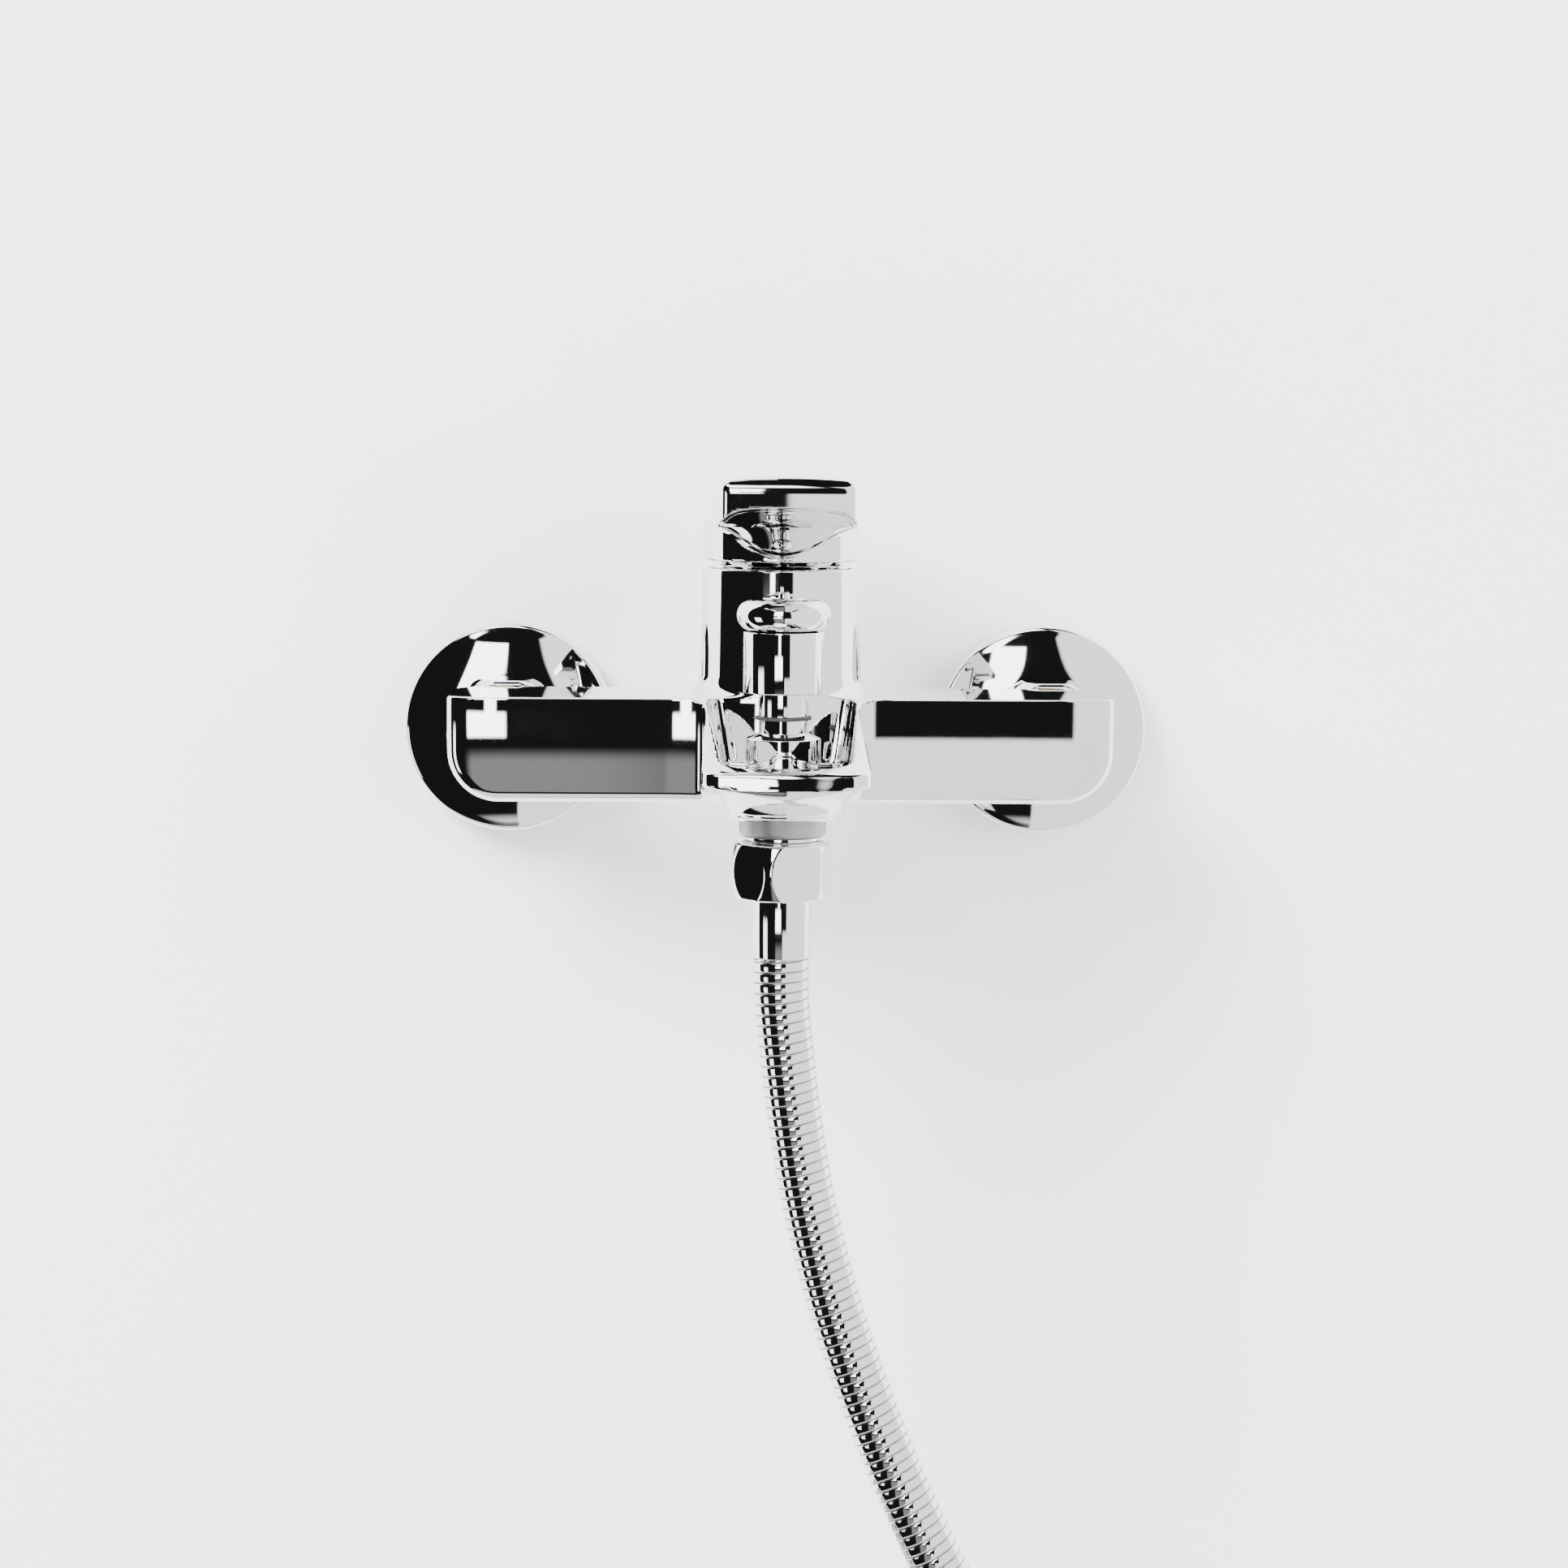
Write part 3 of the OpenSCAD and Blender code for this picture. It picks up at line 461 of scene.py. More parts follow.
BAR_FRONT, BAR_BACK = 80, 43
BAR_HALF_H = 14
BAR_CORNER_R = 13.5
TOWER_FOOT_R = 21.75
TOWER_TOP_R = 21.15
TOWER_FILLET_R = 5
SPOUT_BACK = 60
SPOUT_TOP_BACK = 12.6
SPOUT_FALL = 0.167
SPOUT_HALF_W = 20.9
SPOUT_DEEPEST = 8.3
LIP_BOTTOM = -3.9
BOWL_R = 14.7
KEEL_HALF_W = 13.5
SCOOP_HALF_W = 19.5
SCOOP_NARROWS = 3.6
SCOOP_FLOOR_BACK = -4.3
SCOOP_FLOOR_RISE = math.tan(math.radians(4.7))
SCOOP_FRONT = 143
SCOOP_BACK_R = 46
# Bores inside the casting: radii and where each begins or ends
CARTRIDGE_R, CARTRIDGE_FLOOR = 17.6, 22
CARTRIDGE_NUT_R, CARTRIDGE_NUT_FLOOR = 18.95, 39.5
BONNET_SEAT_R, BONNET_SEAT_TOP = 9.7, -2.7
BONNET_R, BONNET_HOLE_TOP = 8.55, 14
AERATOR_R, AERATOR_HOLE_TOP = 11.05, -3.2
INLET_R, INLET_END = 11.05, 52.5


def spout_top(d):
    """Height of the cheeks' top edges, which fall towards the tip."""
    return SPOUT_TOP_BACK - (d - BAR_FRONT) * SPOUT_FALL


def bar_shape(x, d, z):
    """The bar: a pillowed front, a crisp top edge and soft edges all round the rest."""
    half_l = body_high[0]
    outline = both(np.abs(x) - half_l, -BAR_HALF_H - z, BAR_CORNER_R)
    pillow = (z - 7) ** 2 / 220
    ends = np.maximum(np.abs(x) - 72, 0) ** 2 / 106
    hollow = np.maximum(30 - np.abs(x), 0) ** 2 / 90
    front = d - (BAR_FRONT - pillow - ends + np.minimum(hollow, 1.5))
    block = both(outline, front, 3.4)
    block = both(block, BAR_BACK - d, 3)
    block = np.maximum(block, both(np.abs(x) - half_l, BAR_BACK - d, 12))
    spout_width = step((24 - np.abs(x)) / 4)
    dip = spout_width * np.maximum(spout_top(d) - BAR_HALF_H, -8) * (d > BAR_FRONT - 8.4)
    top = (z - BAR_HALF_H - dip) / math.hypot(1, SPOUT_FALL)
    hill = either(top, tower_shape(x, d, z), TOWER_FILLET_R)
    return both(block, hill, 0.45)


def tower_shape(x, d, z):
    """The tower, which tapers a little up to the cartridge cover."""
    height = body_high[2] - 0.05
    taper = (TOWER_FOOT_R - TOWER_TOP_R) / (height - BAR_HALF_H)
    side = disc(x, d, tower, TOWER_FOOT_R - (z - BAR_HALF_H) * taper)
    return both(both(side, z - height, 0.7), -2 - z, 6)


def spout_shape(x, d, z):
    """The spout's outside: a slab with a leaning lip over a keel and a bowl round the outlet."""
    tip = -body_low[1]
    above = z + 4.4
    lean = 0.1 * above + 0.01 * above ** 2 * (above > 0)
    side = np.abs(x) - SPOUT_HALF_W + 0.01 * (145 - d)
    plan = both(side, d - tip + x ** 2 / 500 + lean, 5)
    top = (z - spout_top(d)) / math.hypot(1, SPOUT_FALL)
    corners = 1.6 * np.minimum(np.abs(x) / 19, 1) ** 2.5
    under = LIP_BOTTOM - SPOUT_DEEPEST * step((122 - d) / 40) + corners
    slab = both(both(plan, top, 1.1), (under - z) * 0.98, 0.8)
    slab = both(slab, SPOUT_BACK - d)
    bowl_z = z - box_mm("aerator_housing")[0][2] - 0.8
    bowl_side = disc(x, d, outlet, BOWL_R + 0.25 * np.maximum(bowl_z, 0))
    bowl = both(bowl_side, np.maximum(-bowl_z, z + 2), 0.6)
    keel_plan = both(np.abs(x) - KEEL_HALF_W, between(d, SPOUT_BACK, outlet[1] - 13), 4)
    keel = both(keel_plan, between(z, body_low[2], 0), 2)
    return either(either(slab, keel, 3), bowl, 6)


def scoop_shape(x, d, z):
    """The scoop in the spout's top. Its back is a gently bowed wall under the tower's front."""
    depth = np.maximum(spout_top(d) - z, 0)
    narrower = SCOOP_NARROWS * np.clip((d - BAR_FRONT) / 58, -0.2, 1.2)
    side = np.abs(x) - (SCOOP_HALF_W - narrower - 0.13 * depth)
    front = (d - SCOOP_FRONT + 0.5 * depth) * 0.9
    floor = SCOOP_FLOOR_BACK + (d - BAR_FRONT) * SCOOP_FLOOR_RISE - z
    back = disc(x, d, (0, BAR_FRONT - 0.1 - SCOOP_BACK_R), SCOOP_BACK_R)
    back = 0.07 * np.maximum(SPOUT_TOP_BACK - z, 0) - back
    return both(both(both(side, front, 8), back, 5), floor, 2.2)


def body_shape(x, d, z):
    """The casting with the scoop, the cartridge's seat and the waterways' ends cut out."""
    solid = either(bar_shape(x, d, z), spout_shape(x, d, z), 2.5)
    solid = without(solid, scoop_shape(x, d, z), 0.7)
    solid = np.minimum(solid, tower_shape(x, d, z))
    cartridge = both(disc(x, d, tower, CARTRIDGE_R), CARTRIDGE_FLOOR - z)
    nut_seat = both(disc(x, d, tower, CARTRIDGE_NUT_R), CARTRIDGE_NUT_FLOOR - z)
    collar_seat = both(disc(x, d, diverter, BONNET_SEAT_R), BONNET_SEAT_TOP - z)
    shaft = both(np.minimum(collar_seat, disc(x, d, diverter, BONNET_R)), z - BONNET_HOLE_TOP)
    aerator_hole = both(disc(x, d, outlet, AERATOR_R), z - AERATOR_HOLE_TOP)
    inlets = both(np.hypot(np.abs(x) - inlet_x, z) - INLET_R, d - INLET_END)
    for cut in (np.minimum(cartridge, nut_seat), shaft, aerator_hole, inlets):
        solid = without(solid, cut)
    return solid


def make_body():
    """The body on a grid that is finer at its ends, cheeks, lip, crisp edges and the tower's top."""
    half_l, back, tip = body_high[0], -body_high[1], -body_low[1]
    across = samples(-half_l - 2, half_l + 2, 1.5, [
        (-half_l - 1, -79, 0.9), (-26, -22.5, 0.8), (-22.5, -14.5, 0.45), (-14.5, 14.5, 0.8),
        (14.5, 22.5, 0.45), (22.5, 26, 0.8), (79, half_l + 1, 0.9)])
    out = samples(back - 2, tip + 2, 0.95, [(78, 84, 0.5), (140, tip + 1, 0.6)])
    up = samples(body_low[2] - 2, body_high[2] + 2, 0.95, [
        (body_low[2] - 1, -9, 0.65), (11.5, 15.5, 0.4), (body_high[2] - 1.5, body_high[2] + 0.5, 0.3)])
    carve("faucet_body", body_shape, (across, out, up), "mixer", "chrome", ["mixer_body"])


# ---- Handle ----

SKIRT_TOP = 61
LEVER_HALF_W = 18.4
TIP_HALF_W = 16.3
LEVER_BACK_R = 20.6
LID_RISE = 1.6
BELLY_D, CREASE_D = 79, 118
BELLY_Z, BELLY_RISE = 51.0, 9.2
LENS_RISE = 5.6
CAVITY_R, CAVITY_TOP = 18.2, 59.5
SCREW_R, SCREW_Z, SCREW_DEPTH = 4.05, 63.5, 17.9
SOCKET_HALF, SOCKET_TOP = 3.85, 67.7
REAR_CUT_DEG = 26


def lever_half_width(d):
    """Half the lever's width, which narrows towards its tip."""
    return LEVER_HALF_W - (LEVER_HALF_W - TIP_HALF_W) * step((d - 95) / 72) * 1.15


def handle_shape(x, d, z):
    """A round skirt with a lever over it, creased into facets on its underside."""
    bottom, top, tip = handle_low[2], handle_high[2], -handle_low[1]
    skirt_r = (handle_high[0] - handle_low[0]) / 2
    skirt = both(both(disc(x, d, tower, skirt_r), z - SKIRT_TOP, 2.2), bottom - z, 0.5)
    side = np.abs(x) - lever_half_width(d)
    nose = d - tip + 0.9 * (x / 16) ** 2
    plan = both(side, nose + 0.087 * (top - z), 2.6)
    plan = both(plan, tower[1] - d)
    behind = np.where(d < tower[1], LEVER_HALF_W / LEVER_BACK_R, 1)
    plan = np.minimum(plan, np.hypot(x, (d - tower[1]) * behind) - LEVER_HALF_W)
    lid = z - (top + LID_RISE * np.clip((d - 60) / 78, 0, 1) - 0.8 * (x / 17) ** 2)
    front_bevel = (z - top + 1.6 + nose) * 0.7
    side_bevel = (z - top + 1.0 + side) * 0.7
    upper = both(both(both(plan, lid, 0.4), front_bevel, 0.9), side_bevel, 0.9)
    keel = 11.5 * (np.abs(x) / 18) ** 2 * np.clip((CREASE_D - d) / 42, 0, 1.2)
    belly = BELLY_Z + BELLY_RISE * np.clip((d - BELLY_D) / (CREASE_D - BELLY_D), 0, 1) ** 1.5 + keel
    lens_along = 1 - (1 - np.clip((d - CREASE_D) / 27, 0, 1)) ** 1.9
    lens_across = np.maximum(1 - 0.2 * (x / 17) ** 2 - (x / 18.2) ** 8, 0)
    upper = both(upper, (belly + LENS_RISE * lens_along * lens_across - z) * 0.93, 0.3)
    solid = either(skirt, upper, 0.8)
    cavity = both(disc(x, d, tower, CAVITY_R), z - CAVITY_TOP)
    cut_cos, cut_sin = math.cos(math.radians(REAR_CUT_DEG)), math.sin(math.radians(REAR_CUT_DEG))
    rear_cut = (z - bottom) * cut_cos - (tower[1] - 3.2 - d) * cut_sin
    screw = both(np.hypot(x, z - SCREW_Z) - SCREW_R, d - tower[1] + SCREW_DEPTH)
    socket = np.abs(x) - SOCKET_HALF
    socket = both(both(socket, np.abs(d - tower[1]) - SOCKET_HALF), z - SOCKET_TOP)
    solid = without(solid, cavity)
    solid = without(solid, rear_cut, 0.3)
    solid = without(solid, screw)
    return without(solid, socket)


def make_handle():
    across = samples(handle_low[0] - 2, handle_high[0] + 2, 0.6)
    out = samples(-handle_high[1] - 2, -handle_low[1] + 2, 0.7, [(135, 147, 0.45)])
    up = samples(handle_low[2] - 1, handle_high[2] + 4, 0.5)
    carve("handle", handle_shape, (across, out, up), "lever", "chrome", ["lever_handle"])


# ---- Nuts ----

def hexagon(a, b, across_flats, first_deg):
    """Distance to a hexagon in the plane of a and b. first_deg is the direction of one flat."""
    made = -1e3
    for k in range(3):
        turn = math.radians(first_deg + 60 * k)
        made = np.maximum(made, np.abs(a * math.cos(turn) + b * math.sin(turn)) - across_flats / 2)
    return made


def nut_shape(a, b, along, low, high, across_flats, bore, first_deg):
    """A hexagon nut turned to a barrel first, so that its flats end in arcs."""
    corner_r = across_flats / math.sqrt(3)
    r = np.hypot(a, b)
    share = (2 * along - low - high) / (high - low)
    barrel = r - corner_r * (0.962 - 0.078 * share ** 2)
    solid = both(hexagon(a, b, across_flats, first_deg), barrel, 0.15)
    solid = both(solid, between(along, low, high), 0.5)
    return without(solid, bore)


HOSE_NUT_FLATS = 24
HOSE_NUT_BORE_R, HOSE_NUT_THREAD_R = 6.95, 10.55
UNION_NUT_FLATS = 30
UNION_NUT_BORE_R = 13.3


def make_hose_nut():
    """The nut under the outlet, bored to the thread above and to the hose's insert below."""
    pitch = 0.36
    low, high = box_mm("hose_nut")
    middle = axis_mm("hose_nut")
    grid = [samples(at - 15, at + 15, pitch) for at in middle] + [samples(low[2] - 1, high[2] + 1, pitch)]
    thread_end = box_mm("shower_outlet")[0][2] - 3.2

    def hose_nut(x, d, z):
        bore = np.minimum(disc(x, d, middle, HOSE_NUT_BORE_R),
                          both(disc(x, d, middle, HOSE_NUT_THREAD_R), thread_end - z))
        return nut_shape(x - middle[0], d - middle[1], z, low[2], high[2], HOSE_NUT_FLATS, bore, -43)

    carve("hose_nut_hexagon", hose_nut, grid, "mixer", "chrome", ["hose_nut"])


def make_union_nuts():
    for side in ("left", "right"):
        node = "union_nut_" + side
        low, high = box_mm(node)
        at = axis_mm(node)[0]
        near, far = -high[1], -low[1]
        grid = [samples(at - 18, at + 18, 0.45), samples(near - 1, far + 1, 0.5), samples(-18, 18, 0.45)]

        def union_nut(x, d, z):
            bore = np.hypot(x - at, z) - UNION_NUT_BORE_R
            return nut_shape(x - at, z, d, near, far, UNION_NUT_FLATS, bore, 30)

        carve(node + "_hexagon", union_nut, grid, "mixer", "chrome", [node])


# ---- Turned pieces ----

def make_escutcheons():
    """Deep cups with a soft rim, whose face swells gently up to a hub round the union."""
    hub_r, rim_r, wall, swell = 13.3, 27.7, 1.2, 4.3
    for side in ("left", "right"):
        node = "escutcheon_" + side
        low, high = box_mm(node)
        r = (high[0] - low[0]) / 2
        hub_front = 0.7 - low[1]
        face = [(rim_r + (hub_r + 0.5 - rim_r) * t, hub_front - swell * (1 - t) ** 1.6)
                for t in np.linspace(0.03, 1, 15)]
        rim = rounded([(r, 8), (r, hub_front - swell - 0.6, 2.2), face[0]], False, 8)[1:-1]
        outline = [(r - wall, 0), (r, 0)] + rim + face
        outline += [(hub_r, hub_front - 0.4), (hub_r, hub_front - wall), (rim_r - 4, hub_front - swell - 0.4)]
        outline += [(r - wall, hub_front - swell - 3)]
        middle = ((low[0] + high[0]) / 2, 0, 0)
        lathe(node + "_cup", outline, middle, "d", "mixer", "chrome", [node], sides=192)


def make_knob():
    """The mushroom knob with its raised disc and pip, and the sleeve under it."""
    low, high = box_mm("diverter_knob")
    r = (high[0] - low[0]) / 2
    half = (high[2] - low[2]) / 2
    side = [(r - half * (1 - math.cos(a)), (low[2] + high[2]) / 2 + half * math.sin(a))
            for a in np.linspace(-1.45, 1.42, 19)]
    top = high[2]
    outline = [(0, low[2]), (r - half - 0.6, low[2])] + side
    outline += rounded([(8.9, top, 0), (5.7, top, 0.15), (5.45, top + 0.3, 0.15), (0, top + 0.3)], False, 3)
    middle = (*diverter, 0)
    lathe("knob_mushroom", outline, middle, "z", "diverter", "chrome", ["diverter_knob"], False)
    pip = rounded([(0, top + 0.2), (1.55, top + 0.2), (1.3, top + 1.6, 0.4), (0, top + 1.7)], False)
    lathe("knob_pip", pip, middle, "z", "diverter", "chrome", ["knob_cap_screw"], False, 48)
    low, high = box_mm("diverter_sleeve")
    r = (high[0] - low[0]) / 2
    stem_r, bore_r, roof = 3.02, 7.7, 1
    sleeve = rounded([(r, low[2], 0.35), (r, high[2], 0.3), (stem_r, high[2]), (stem_r, high[2] - roof),
                      (bore_r, high[2] - roof, 0.3), (bore_r, low[2], 0.3)])
    lathe("sleeve", sleeve, middle, "z", "diverter", "chrome", ["diverter_sleeve"])


def make_bonnet():
    """The collar in the scoop's floor with its neck, grooved for the snap ring."""
    low, high = box_mm("diverter_bonnet")
    collar_r, collar_low, collar_top = 9.65, BONNET_SEAT_TOP, 5.7
    stem_r, thread_r, groove_r, half_groove = 3.05, 8.5, 5.75, 0.4
    ring = (box_mm("bonnet_snap_ring")[0][2] + box_mm("bonnet_snap_ring")[1][2]) / 2
    bonnet = rounded([
        (stem_r, low[2]), (thread_r, low[2], 0.4), (thread_r, collar_low), (collar_r, collar_low),
        (collar_r, collar_top, 0.25), (6.3, collar_top + 1.3, 0.3), (6.25, ring - half_groove, 0.1),
        (groove_r, ring - half_groove), (groove_r, ring + half_groove), (6.4, ring + half_groove, 0.1),
        (6.4, high[2], 0.5), (stem_r, high[2])])
    lathe("bonnet", bonnet, (*diverter, 0), "z", "mixer", "chrome", ["diverter_bonnet"])


def make_outlets():
    """The aerator's ring, and the satin shower outlet with its bright neck."""
    low, high = box_mm("aerator_housing")
    r = (high[0] - low[0]) / 2
    bore_r, thread_r, flange = 9.6, 11, 0.8
    ring = rounded([(bore_r, low[2], 0.2), (r, low[2], 0.35), (r, low[2] + flange),
                    (thread_r, low[2] + flange), (thread_r, high[2], 0.3), (bore_r, high[2])])
    lathe("aerator_ring", ring, (*outlet, 0), "z", "mixer", "chrome", ["aerator_housing"])
    low, high = box_mm("shower_outlet")
    under = body_low[2]
    foot = under - 5.4
    bore_r, collar_r, stub_r = 7.3, 11.2, 9.4
    collar = rounded([(bore_r, foot), (9.2, foot), (collar_r, foot, 1.4), (collar_r, under, 0.15),
                      (stub_r, under), (stub_r, high[2], 0.3), (bore_r, high[2])], steps=8)
    lathe("outlet_collar", collar, (*diverter, 0), "z", "mixer", "satin_grey", ["shower_outlet"])
    nut_top = box_mm("hose_nut")[1][2]
    hole_r, thread_r, inside_r, end_wall = 5, 10.48, 7.35, 1.2
    neck = rounded([(hole_r, low[2]), (9.9, low[2], 0.5), (thread_r, low[2] + 1),
                    (thread_r, nut_top + 0.3, 0.2), (9.6, nut_top + 0.5, 0.2), (9.6, foot + 0.1),
                    (inside_r, foot + 0.1), (inside_r, low[2] + end_wall), (hole_r, low[2] + end_wall)])
    lathe("outlet_neck", neck, (*diverter, 0), "z", "mixer", "chrome", [])


def make_cover():
    """The bright cone over the cartridge, in the gap under the handle."""
    low, high = box_mm("cartridge_cover")
    r = (high[0] - low[0]) / 2
    hole_r, cone_r, top_r = 11.5, 17, 12.9
    cone = rounded([(hole_r, low[2]), (r, low[2]), (r, low[2] + 0.8, 0.25), (cone_r, low[2] + 1.2, 1.5),
                    (top_r, high[2], 0.4), (hole_r, high[2])])
    lathe("cartridge_cone", cone, (*tower, 0), "z", "mixer", "chrome", ["cartridge_cover"])


def make_plug():
    """The plug over the handle's grub screw, with its face slightly crowned."""
    low, high = box_mm("screw_plug")
    back, front, r = -high[1], -low[1], 4
    plug = rounded([(0, back + 0.05), (3.2, back + 0.15, 0.3), (r, back + 0.6, 0.3), (r, front), (0, front)],
                   False)
    middle = (0, 0, (low[2] + high[2]) / 2)
    lathe("lever_plug", plug, middle, "d", "lever", "chrome", ["screw_plug"], False, 64)


# ---- Shower hose ----

# The route from the ferrule down to the coil, in metres from the fitting's axis: the one in the CAD source
ROUTE = [
    (0, 0, -0.051), (0, 0, -0.060), (0.0006, 0, -0.068), (0.0017, 0, -0.078), (0.0032, 0, -0.090),
    (0.005, 0, -0.102), (0.0072, -0.0003, -0.114), (0.0102, -0.0009, -0.127), (0.014, -0.0016, -0.141),
    (0.0185, -0.0025, -0.155), (0.0236, -0.0034, -0.169), (0.0292, -0.0043, -0.183),
    (0.0358, -0.0052, -0.198), (0.043, -0.006, -0.213), (0.0513, -0.0067, -0.229),
    (0.0592, -0.0071, -0.243), (0.0676, -0.0073, -0.257), (0.07645, -0.0073, -0.27167),
]
HOSE_D = 0.0144
HOSE_PITCH = 0.00267
COIL_R = 0.086
COIL_JOIN_DEG = 35
TURN_PITCH = 0.0148


def smooth_through(points, steps=6):
    """A smooth curve through points, with a few short steps between each two."""
    points = np.array(points)
    tangents = np.gradient(points, axis=0)
    made = [points[0]]
    for a, b, ta, tb in zip(points, points[1:], tangents, tangents[1:]):
        for k in range(1, steps + 1):
            t = k / steps
            made.append((2 * t ** 3 - 3 * t ** 2 + 1) * a + (t ** 3 - 2 * t ** 2 + t) * ta
                        + (3 * t ** 2 - 2 * t ** 3) * b + (t ** 3 - t ** 2) * tb)
    return np.array(made)


def hose_path():
    """The hose's centre line: down from its ferrule, two turns of a stored coil and a short tail."""
    start = np.array([diverter[0], -diverter[1], 0]) * MM
    fall = smooth_through(ROUTE) + start
    coil_low, coil_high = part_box("hose_coil")
    centre_x, centre_z = (coil_low.x + coil_high.x) / 2, (coil_low.z + coil_high.z) / 2
    turns = 2 + COIL_JOIN_DEG / 360
    angle = math.radians(COIL_JOIN_DEG) - np.linspace(0, turns * 2 * math.pi, 160)
    coil = np.stack([centre_x + COIL_R * np.cos(angle),
                     fall[-1][1] + TURN_PITCH * (angle[0] - angle) / (2 * math.pi),
                     centre_z + COIL_R * np.sin(angle)], 1)
    tail_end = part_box("hose_end_ferrule")[1].z
    tail = np.linspace(coil[-1], (coil[-1][0], coil[-1][1], tail_end), 12)
    return np.concatenate([fall, coil[1:], tail[1:]])


def moving_frames(path):
    """For fine steps along a path: its length so far, its points, and a side and a back that never twist."""
    along = np.concatenate([[0], np.cumsum(np.linalg.norm(np.diff(path, axis=0), axis=1))])
    fine = np.linspace(0, along[-1], int(along[-1] / 0.001))
    points = np.stack([np.interp(fine, along, path[:, k]) for k in range(3)], 1)
    heading = np.gradient(points, axis=0)
    heading /= np.linalg.norm(heading, axis=1, keepdims=True)
    sides = np.zeros_like(points)
    side = np.cross(heading[0], (0, 1, 0))
    for i, ahead in enumerate(heading):
        side = side - (side @ ahead) * ahead
        side /= np.linalg.norm(side)
        sides[i] = side
    return fine, points, sides, np.cross(heading, sides)


# One turn of the wound strip: where along the pitch, how far below the crown, and how much painted groove shade
# darkens it
STRIP = [(0.0, 0.42, 1.0), (0.075, 0.07, 0.3), (0.2, 0.015, 0.0),
         (0.5, 0.0, 0.0), (0.8, 0.015, 0.0), (0.925, 0.07, 0.3)]
SIDES_ROUND_HOSE = 30
HOSE_END_R = 0.004
STRAP_DEG = 24


def make_hose():
    """One strip wound right-handed round the whole length, so its grooves climb as they go round."""
    path = hose_path()
    fine, points, sides, backs = moving_frames(path)
    length = fine[-1]
    around = SIDES_ROUND_HOSE
    turns = int(length / HOSE_PITCH) + 2
    start = np.array([(turn - 1 + at) * HOSE_PITCH for turn in range(turns + 1) for at, _, _ in STRIP])
    below = np.tile([b for _, b, _ in STRIP], turns + 1) * MM
    # Painted shade down in the grooves, for each row of the strip
    groove_shade = np.tile([g for _, _, g in STRIP], turns + 1)
    share = np.arange(around) / around
    raw = start[:, None] + HOSE_PITCH * share[None, :]
    s = np.clip(raw, 0, length)
    r = np.where((raw < 0) | (raw > length), HOSE_END_R, HOSE_D / 2 - below[:, None])
    turn = 2 * math.pi * share[None, :]
    place = np.zeros((*s.shape, 3))
    for k in range(3):
        out = np.cos(turn) * np.interp(s, fine, sides[:, k]) + np.sin(turn) * np.interp(s, fine, backs[:, k])
        place[:, :, k] = np.interp(s, fine, points[:, k]) + r * out
    rows = len(start)
    across = len(STRIP)
    faces = []
    for i in range(rows - 1):
        for j in range(around - 1):
            faces.append((i * around + j, i * around + j + 1, (i + 1) * around + j + 1, (i + 1) * around + j))
        if i + across + 1 < rows:
            a, b = (i + across) * around, (i + across + 1) * around
            faces.append((i * around + around - 1, a, b, (i + 1) * around + around - 1))
    flat = place.reshape(-1, 3) / MM * (1, -1, 1)
    # The groove attribute carries the painted groove shade to the hose's material.
    grooves = {"groove": np.repeat(groove_shade, around)}
    nodes = ["hose_tube", "hose_coil", "hose_tail"]
    hose = add_piece("shower_hose", flat, faces, "mixer", "hose_spiral", nodes,
                     attributes=grooves, sharp_deg=180)
    close_ends(hose.data)
    return hose, path, length


def close_ends(mesh):
    """Joins the strip's turns to each other and fills the holes left at the hose's two ends."""
    made = bmesh.new()
    made.from_mesh(mesh)
    bmesh.ops.remove_doubles(made, verts=made.verts, dist=2e-6)
    bmesh.ops.holes_fill(made, edges=[e for e in made.edges if e.is_boundary], sides=200)
    bmesh.ops.recalc_face_normals(made, faces=made.faces)
    made.to_mesh(mesh)
    made.free()


def make_strap():
    """A soft plastic band hugging the turns of the coil."""
    low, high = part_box("coil_tie")
    coil_low, coil_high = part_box("hose_coil")
    centre = np.array([coil_low.x + coil_high.x, low.y + high.y, coil_low.z + coil_high.z]) / 2 / MM
    lean = math.radians(STRAP_DEG)
    radial = np.array([math.cos(lean), 0, math.sin(lean)])
    tangent = np.array([-math.sin(lean), 0, math.cos(lean)])
    half_x, half_y, corner = HOSE_D / 2 / MM + 0.2, 22.9, 7.2
    loop = []
    for cx, cy, first in ((1, 1, 0), (-1, 1, 90), (-1, -1, 180), (1, -1, 270)):
        for a in np.radians(np.linspace(first, first + 90, 9)):
            loop.append(((half_x - corner) * cx, (half_y - corner) * cy, math.cos(a), math.sin(a)))
    section = rounded([(-4.4, 0, 0.3), (4.4, 0, 0.3), (4.4, 1.4, 0.6), (-4.4, 1.4, 0.6)])
    middle = centre + radial * COIL_R / MM
    points, faces = [], []
    for cx, cy, ux, uy in loop:
        for wide, thick in section:
            out = corner + thick
            level = np.array([0, cy + uy * out, 0])
            points.append(middle + radial * (cx + ux * out) + level + tangent * wide)
    n, m = len(loop), len(section)
    for i in range(n):
        for k in range(m):
            a, b = i * m, (i + 1) % n * m
            faces.append((a + k, a + (k + 1) % m, b + (k + 1) % m, b + k))
    flat = np.array(points) * (1, -1, 1)
    strap = add_piece("coil_strap", flat, faces, "mixer", "grey_plastic", ["coil_tie"])
    tidy_mesh(strap.data, 50)
    return strap


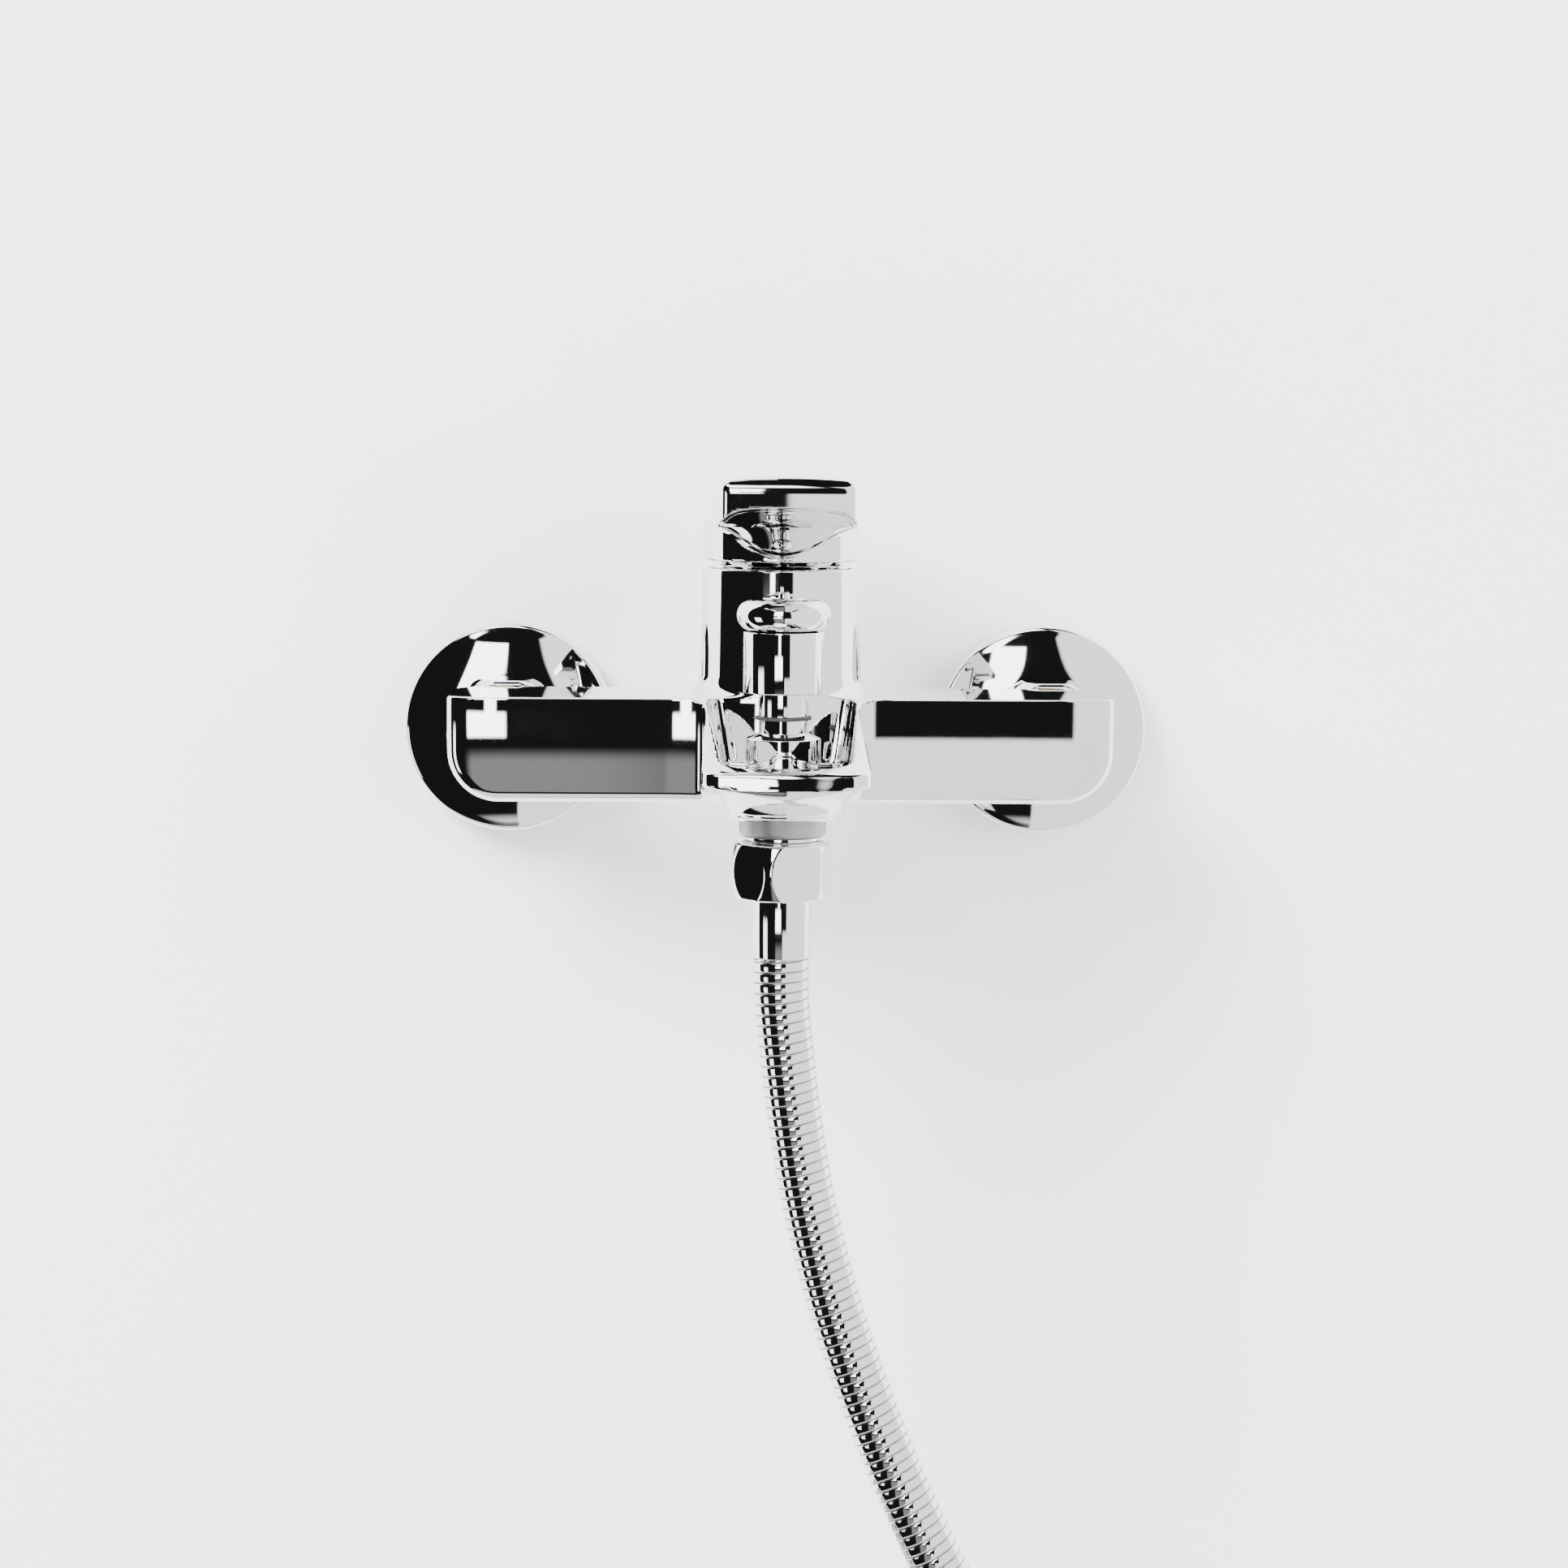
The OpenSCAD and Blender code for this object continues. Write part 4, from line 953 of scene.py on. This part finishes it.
def make_hose_ends():
    """The ferrules and the conical nut for the hand shower."""
    made = []
    bore_r = 6.05
    for node in ("hose_ferrule", "hose_end_ferrule"):
        low, high = box_mm(node)
        r = (high[0] - low[0]) / 2
        tube = rounded([(bore_r, low[2], 0.1), (r, low[2], 0.3), (r, high[2], 0.3), (bore_r, high[2], 0.1)])
        made.append(lathe(node + "_turned", tube, (*axis_mm(node), 0), "z", "mixer", "chrome", [node]))
    low, high = box_mm("hose_end_nut")
    base = low[2]
    thread_r, seat_r, hole_r, grip_r, thread_l, seat_h = 10.53, 10, 6.3, 12.2, 8.9, 10
    cone = rounded([(thread_r, base, 0.3), (grip_r, base, 0.7), (grip_r, base + 6, 0.8), (8.4, high[2], 0.8),
                    (hole_r, high[2], 0.2), (hole_r, base + seat_h), (seat_r, base + seat_h),
                    (seat_r, base + thread_l), (thread_r, base + thread_l)])
    middle = (*axis_mm("hose_end_nut"), 0)
    made.append(lathe("cone_nut", cone, middle, "z", "mixer", "chrome", ["hose_end_nut"]))
    return made


# ---- Stage ----

def sky():
    """A studio seen in the chrome: black on the left, a strip light, and a white wall on the right."""
    world = bpy.data.worlds.new("studio")
    scene.world = world
    world.use_nodes = True
    nodes = Nodes(world.node_tree)
    way = nodes.add("ShaderNodeSeparateXYZ")
    nodes.feed(way.inputs[0], nodes.add("ShaderNodeTexCoord").outputs["Generated"])
    x, y, z = way.outputs
    turn = nodes.math("ARCTAN2", x, nodes.math("MULTIPLY", y, -1))
    azimuth = nodes.math("MULTIPLY", turn, 180 / math.pi)
    height = nodes.math("MULTIPLY", nodes.math("ARCSINE", z), 180 / math.pi)

    def window(value, low, high, soft):
        """1 between two angles and 0 outside them, with soft edges."""
        rise = nodes.ramp(value, low - soft, low + soft, smooth=True)
        fall = nodes.ramp(value, high - soft, high + soft, 1, 0, smooth=True)
        return nodes.math("MULTIPLY", rise, fall)

    def patch(left, right, low, high, bright, base, soft=1.5):
        """Lays a patch of light over base, between two azimuths and two heights in degrees."""
        where = nodes.math("MULTIPLY", window(azimuth, left, right, soft), window(height, low, high, soft))
        return nodes.mix(where, base, grey(bright))

    light = grey(0.012)
    light = patch(-200, 200, -95, -55, 1.7, light, 4)
    light = patch(-200, -113, -95, 95, 1.9, light)
    light = patch(17, 200, -95, 62, 2.0, light)
    light = patch(-26, 0, -38, -14, 0.33, light, 2.5)
    light = patch(1.5, 40, -95, -9, 1.9, light, 1)
    light = patch(-26, -4.5, -9, -2, 7, light, 0.8)
    light = patch(-16, -9.5, -4, 10, 7, light, 0.8)
    light = patch(-26, -4.5, 9, 40, 7, light, 0.8)
    light = patch(-70, 10, 52, 78, 6, light, 4)
    light = patch(-78, -60, -30, -6, 4, light)
    backdrop = grey(2.6)
    seen = nodes.add("ShaderNodeLightPath").outputs["Is Camera Ray"]
    light = nodes.mix(seen, light, backdrop)
    background = nodes.add("ShaderNodeBackground")
    nodes.feed(background.inputs[0], light)
    out = nodes.add("ShaderNodeOutputWorld")
    nodes.feed(out.inputs[0], background.outputs[0])


def plaster(nodes):
    cloud = nodes.noise(3, 3)
    return {"Base_Color": nodes.mix(cloud, grey(0.80), grey(0.84)),
            "Roughness": nodes.ramp(cloud, 0.3, 0.7, 0.55, 0.65),
            "Normal": nodes.bump(nodes.noise(600, 2), 0.00002)}


def sheet_of(name, corners, finish):
    """A flat sheet that belongs to the stage and not to the faucet."""
    mesh = bpy.data.meshes.new(name)
    mesh.from_pydata(corners, [], [(0, 1, 2, 3)])
    mesh.materials.append(finish)
    made = bpy.data.objects.new(name, mesh)
    scene.collection.objects.link(made)
    return made


def clear_from_behind(finish):
    """Makes a material transparent on the back of its faces."""
    nodes = finish.node_tree.nodes
    links = finish.node_tree.links
    clear = nodes.new("ShaderNodeBsdfTransparent")
    sides = nodes.new("ShaderNodeMixShader")
    links.new(nodes.new("ShaderNodeNewGeometry").outputs["Backfacing"], sides.inputs[0])
    links.new(next(n for n in nodes if n.type == "BSDF_PRINCIPLED").outputs[0], sides.inputs[1])
    links.new(clear.outputs[0], sides.inputs[2])
    links.new(sides.outputs[0], next(n for n in nodes if n.type == "OUTPUT_MATERIAL").inputs[0])
    return finish


def make_stage():
    """A pale wall that is clear from behind, a pale floor far below, and two soft lights."""
    half_w, floor_z, reach = 0.55, -0.75, 2.5
    wall = [(-half_w, 0, floor_z), (half_w, 0, floor_z), (half_w, 0, half_w), (-half_w, 0, half_w)]
    ground = [(-reach, -reach, floor_z), (reach, -reach, floor_z),
              (reach, reach, floor_z), (-reach, reach, floor_z)]
    sheet_of("wall", wall, clear_from_behind(material("pale_wall", plaster)))
    floor = sheet_of("floor", ground, material("pale_floor", plaster))
    floor.visible_glossy = False
    for name, place, power, size in (("key", (-1.3, -1.7, 1.5), 235, 1.2), ("fill", (1.6, -1.8, 0.6), 70, 1.6)):
        data = bpy.data.lights.new(name, "AREA")
        data.energy = power
        data.size = size
        light = bpy.data.objects.new(name, data)
        scene.collection.objects.link(light)
        light.location = place
        light.rotation_mode = "QUATERNION"
        light.rotation_quaternion = (Vector((0, 0, -0.05)) - Vector(place)).to_track_quat("-Z", "Y")
        light.visible_glossy = False


# ---- Build ----

hose, hose_line, hose_length = make_hose()
strap = make_strap()
hose_ends = make_hose_ends()
sky()
make_stage()
make_body()
make_handle()
make_hose_nut()
make_union_nuts()
make_escutcheons()
make_knob()
make_bonnet()
make_outlets()
make_cover()
make_plug()

for part in frame["record"]["subparts"]:
    node = frame["nodes"][part["node"]]
    finish = FINISHES[part["material_slot"]]
    if not node.material_slots:
        node.data.materials.append(finish)
    for held in node.material_slots:
        held.material = finish
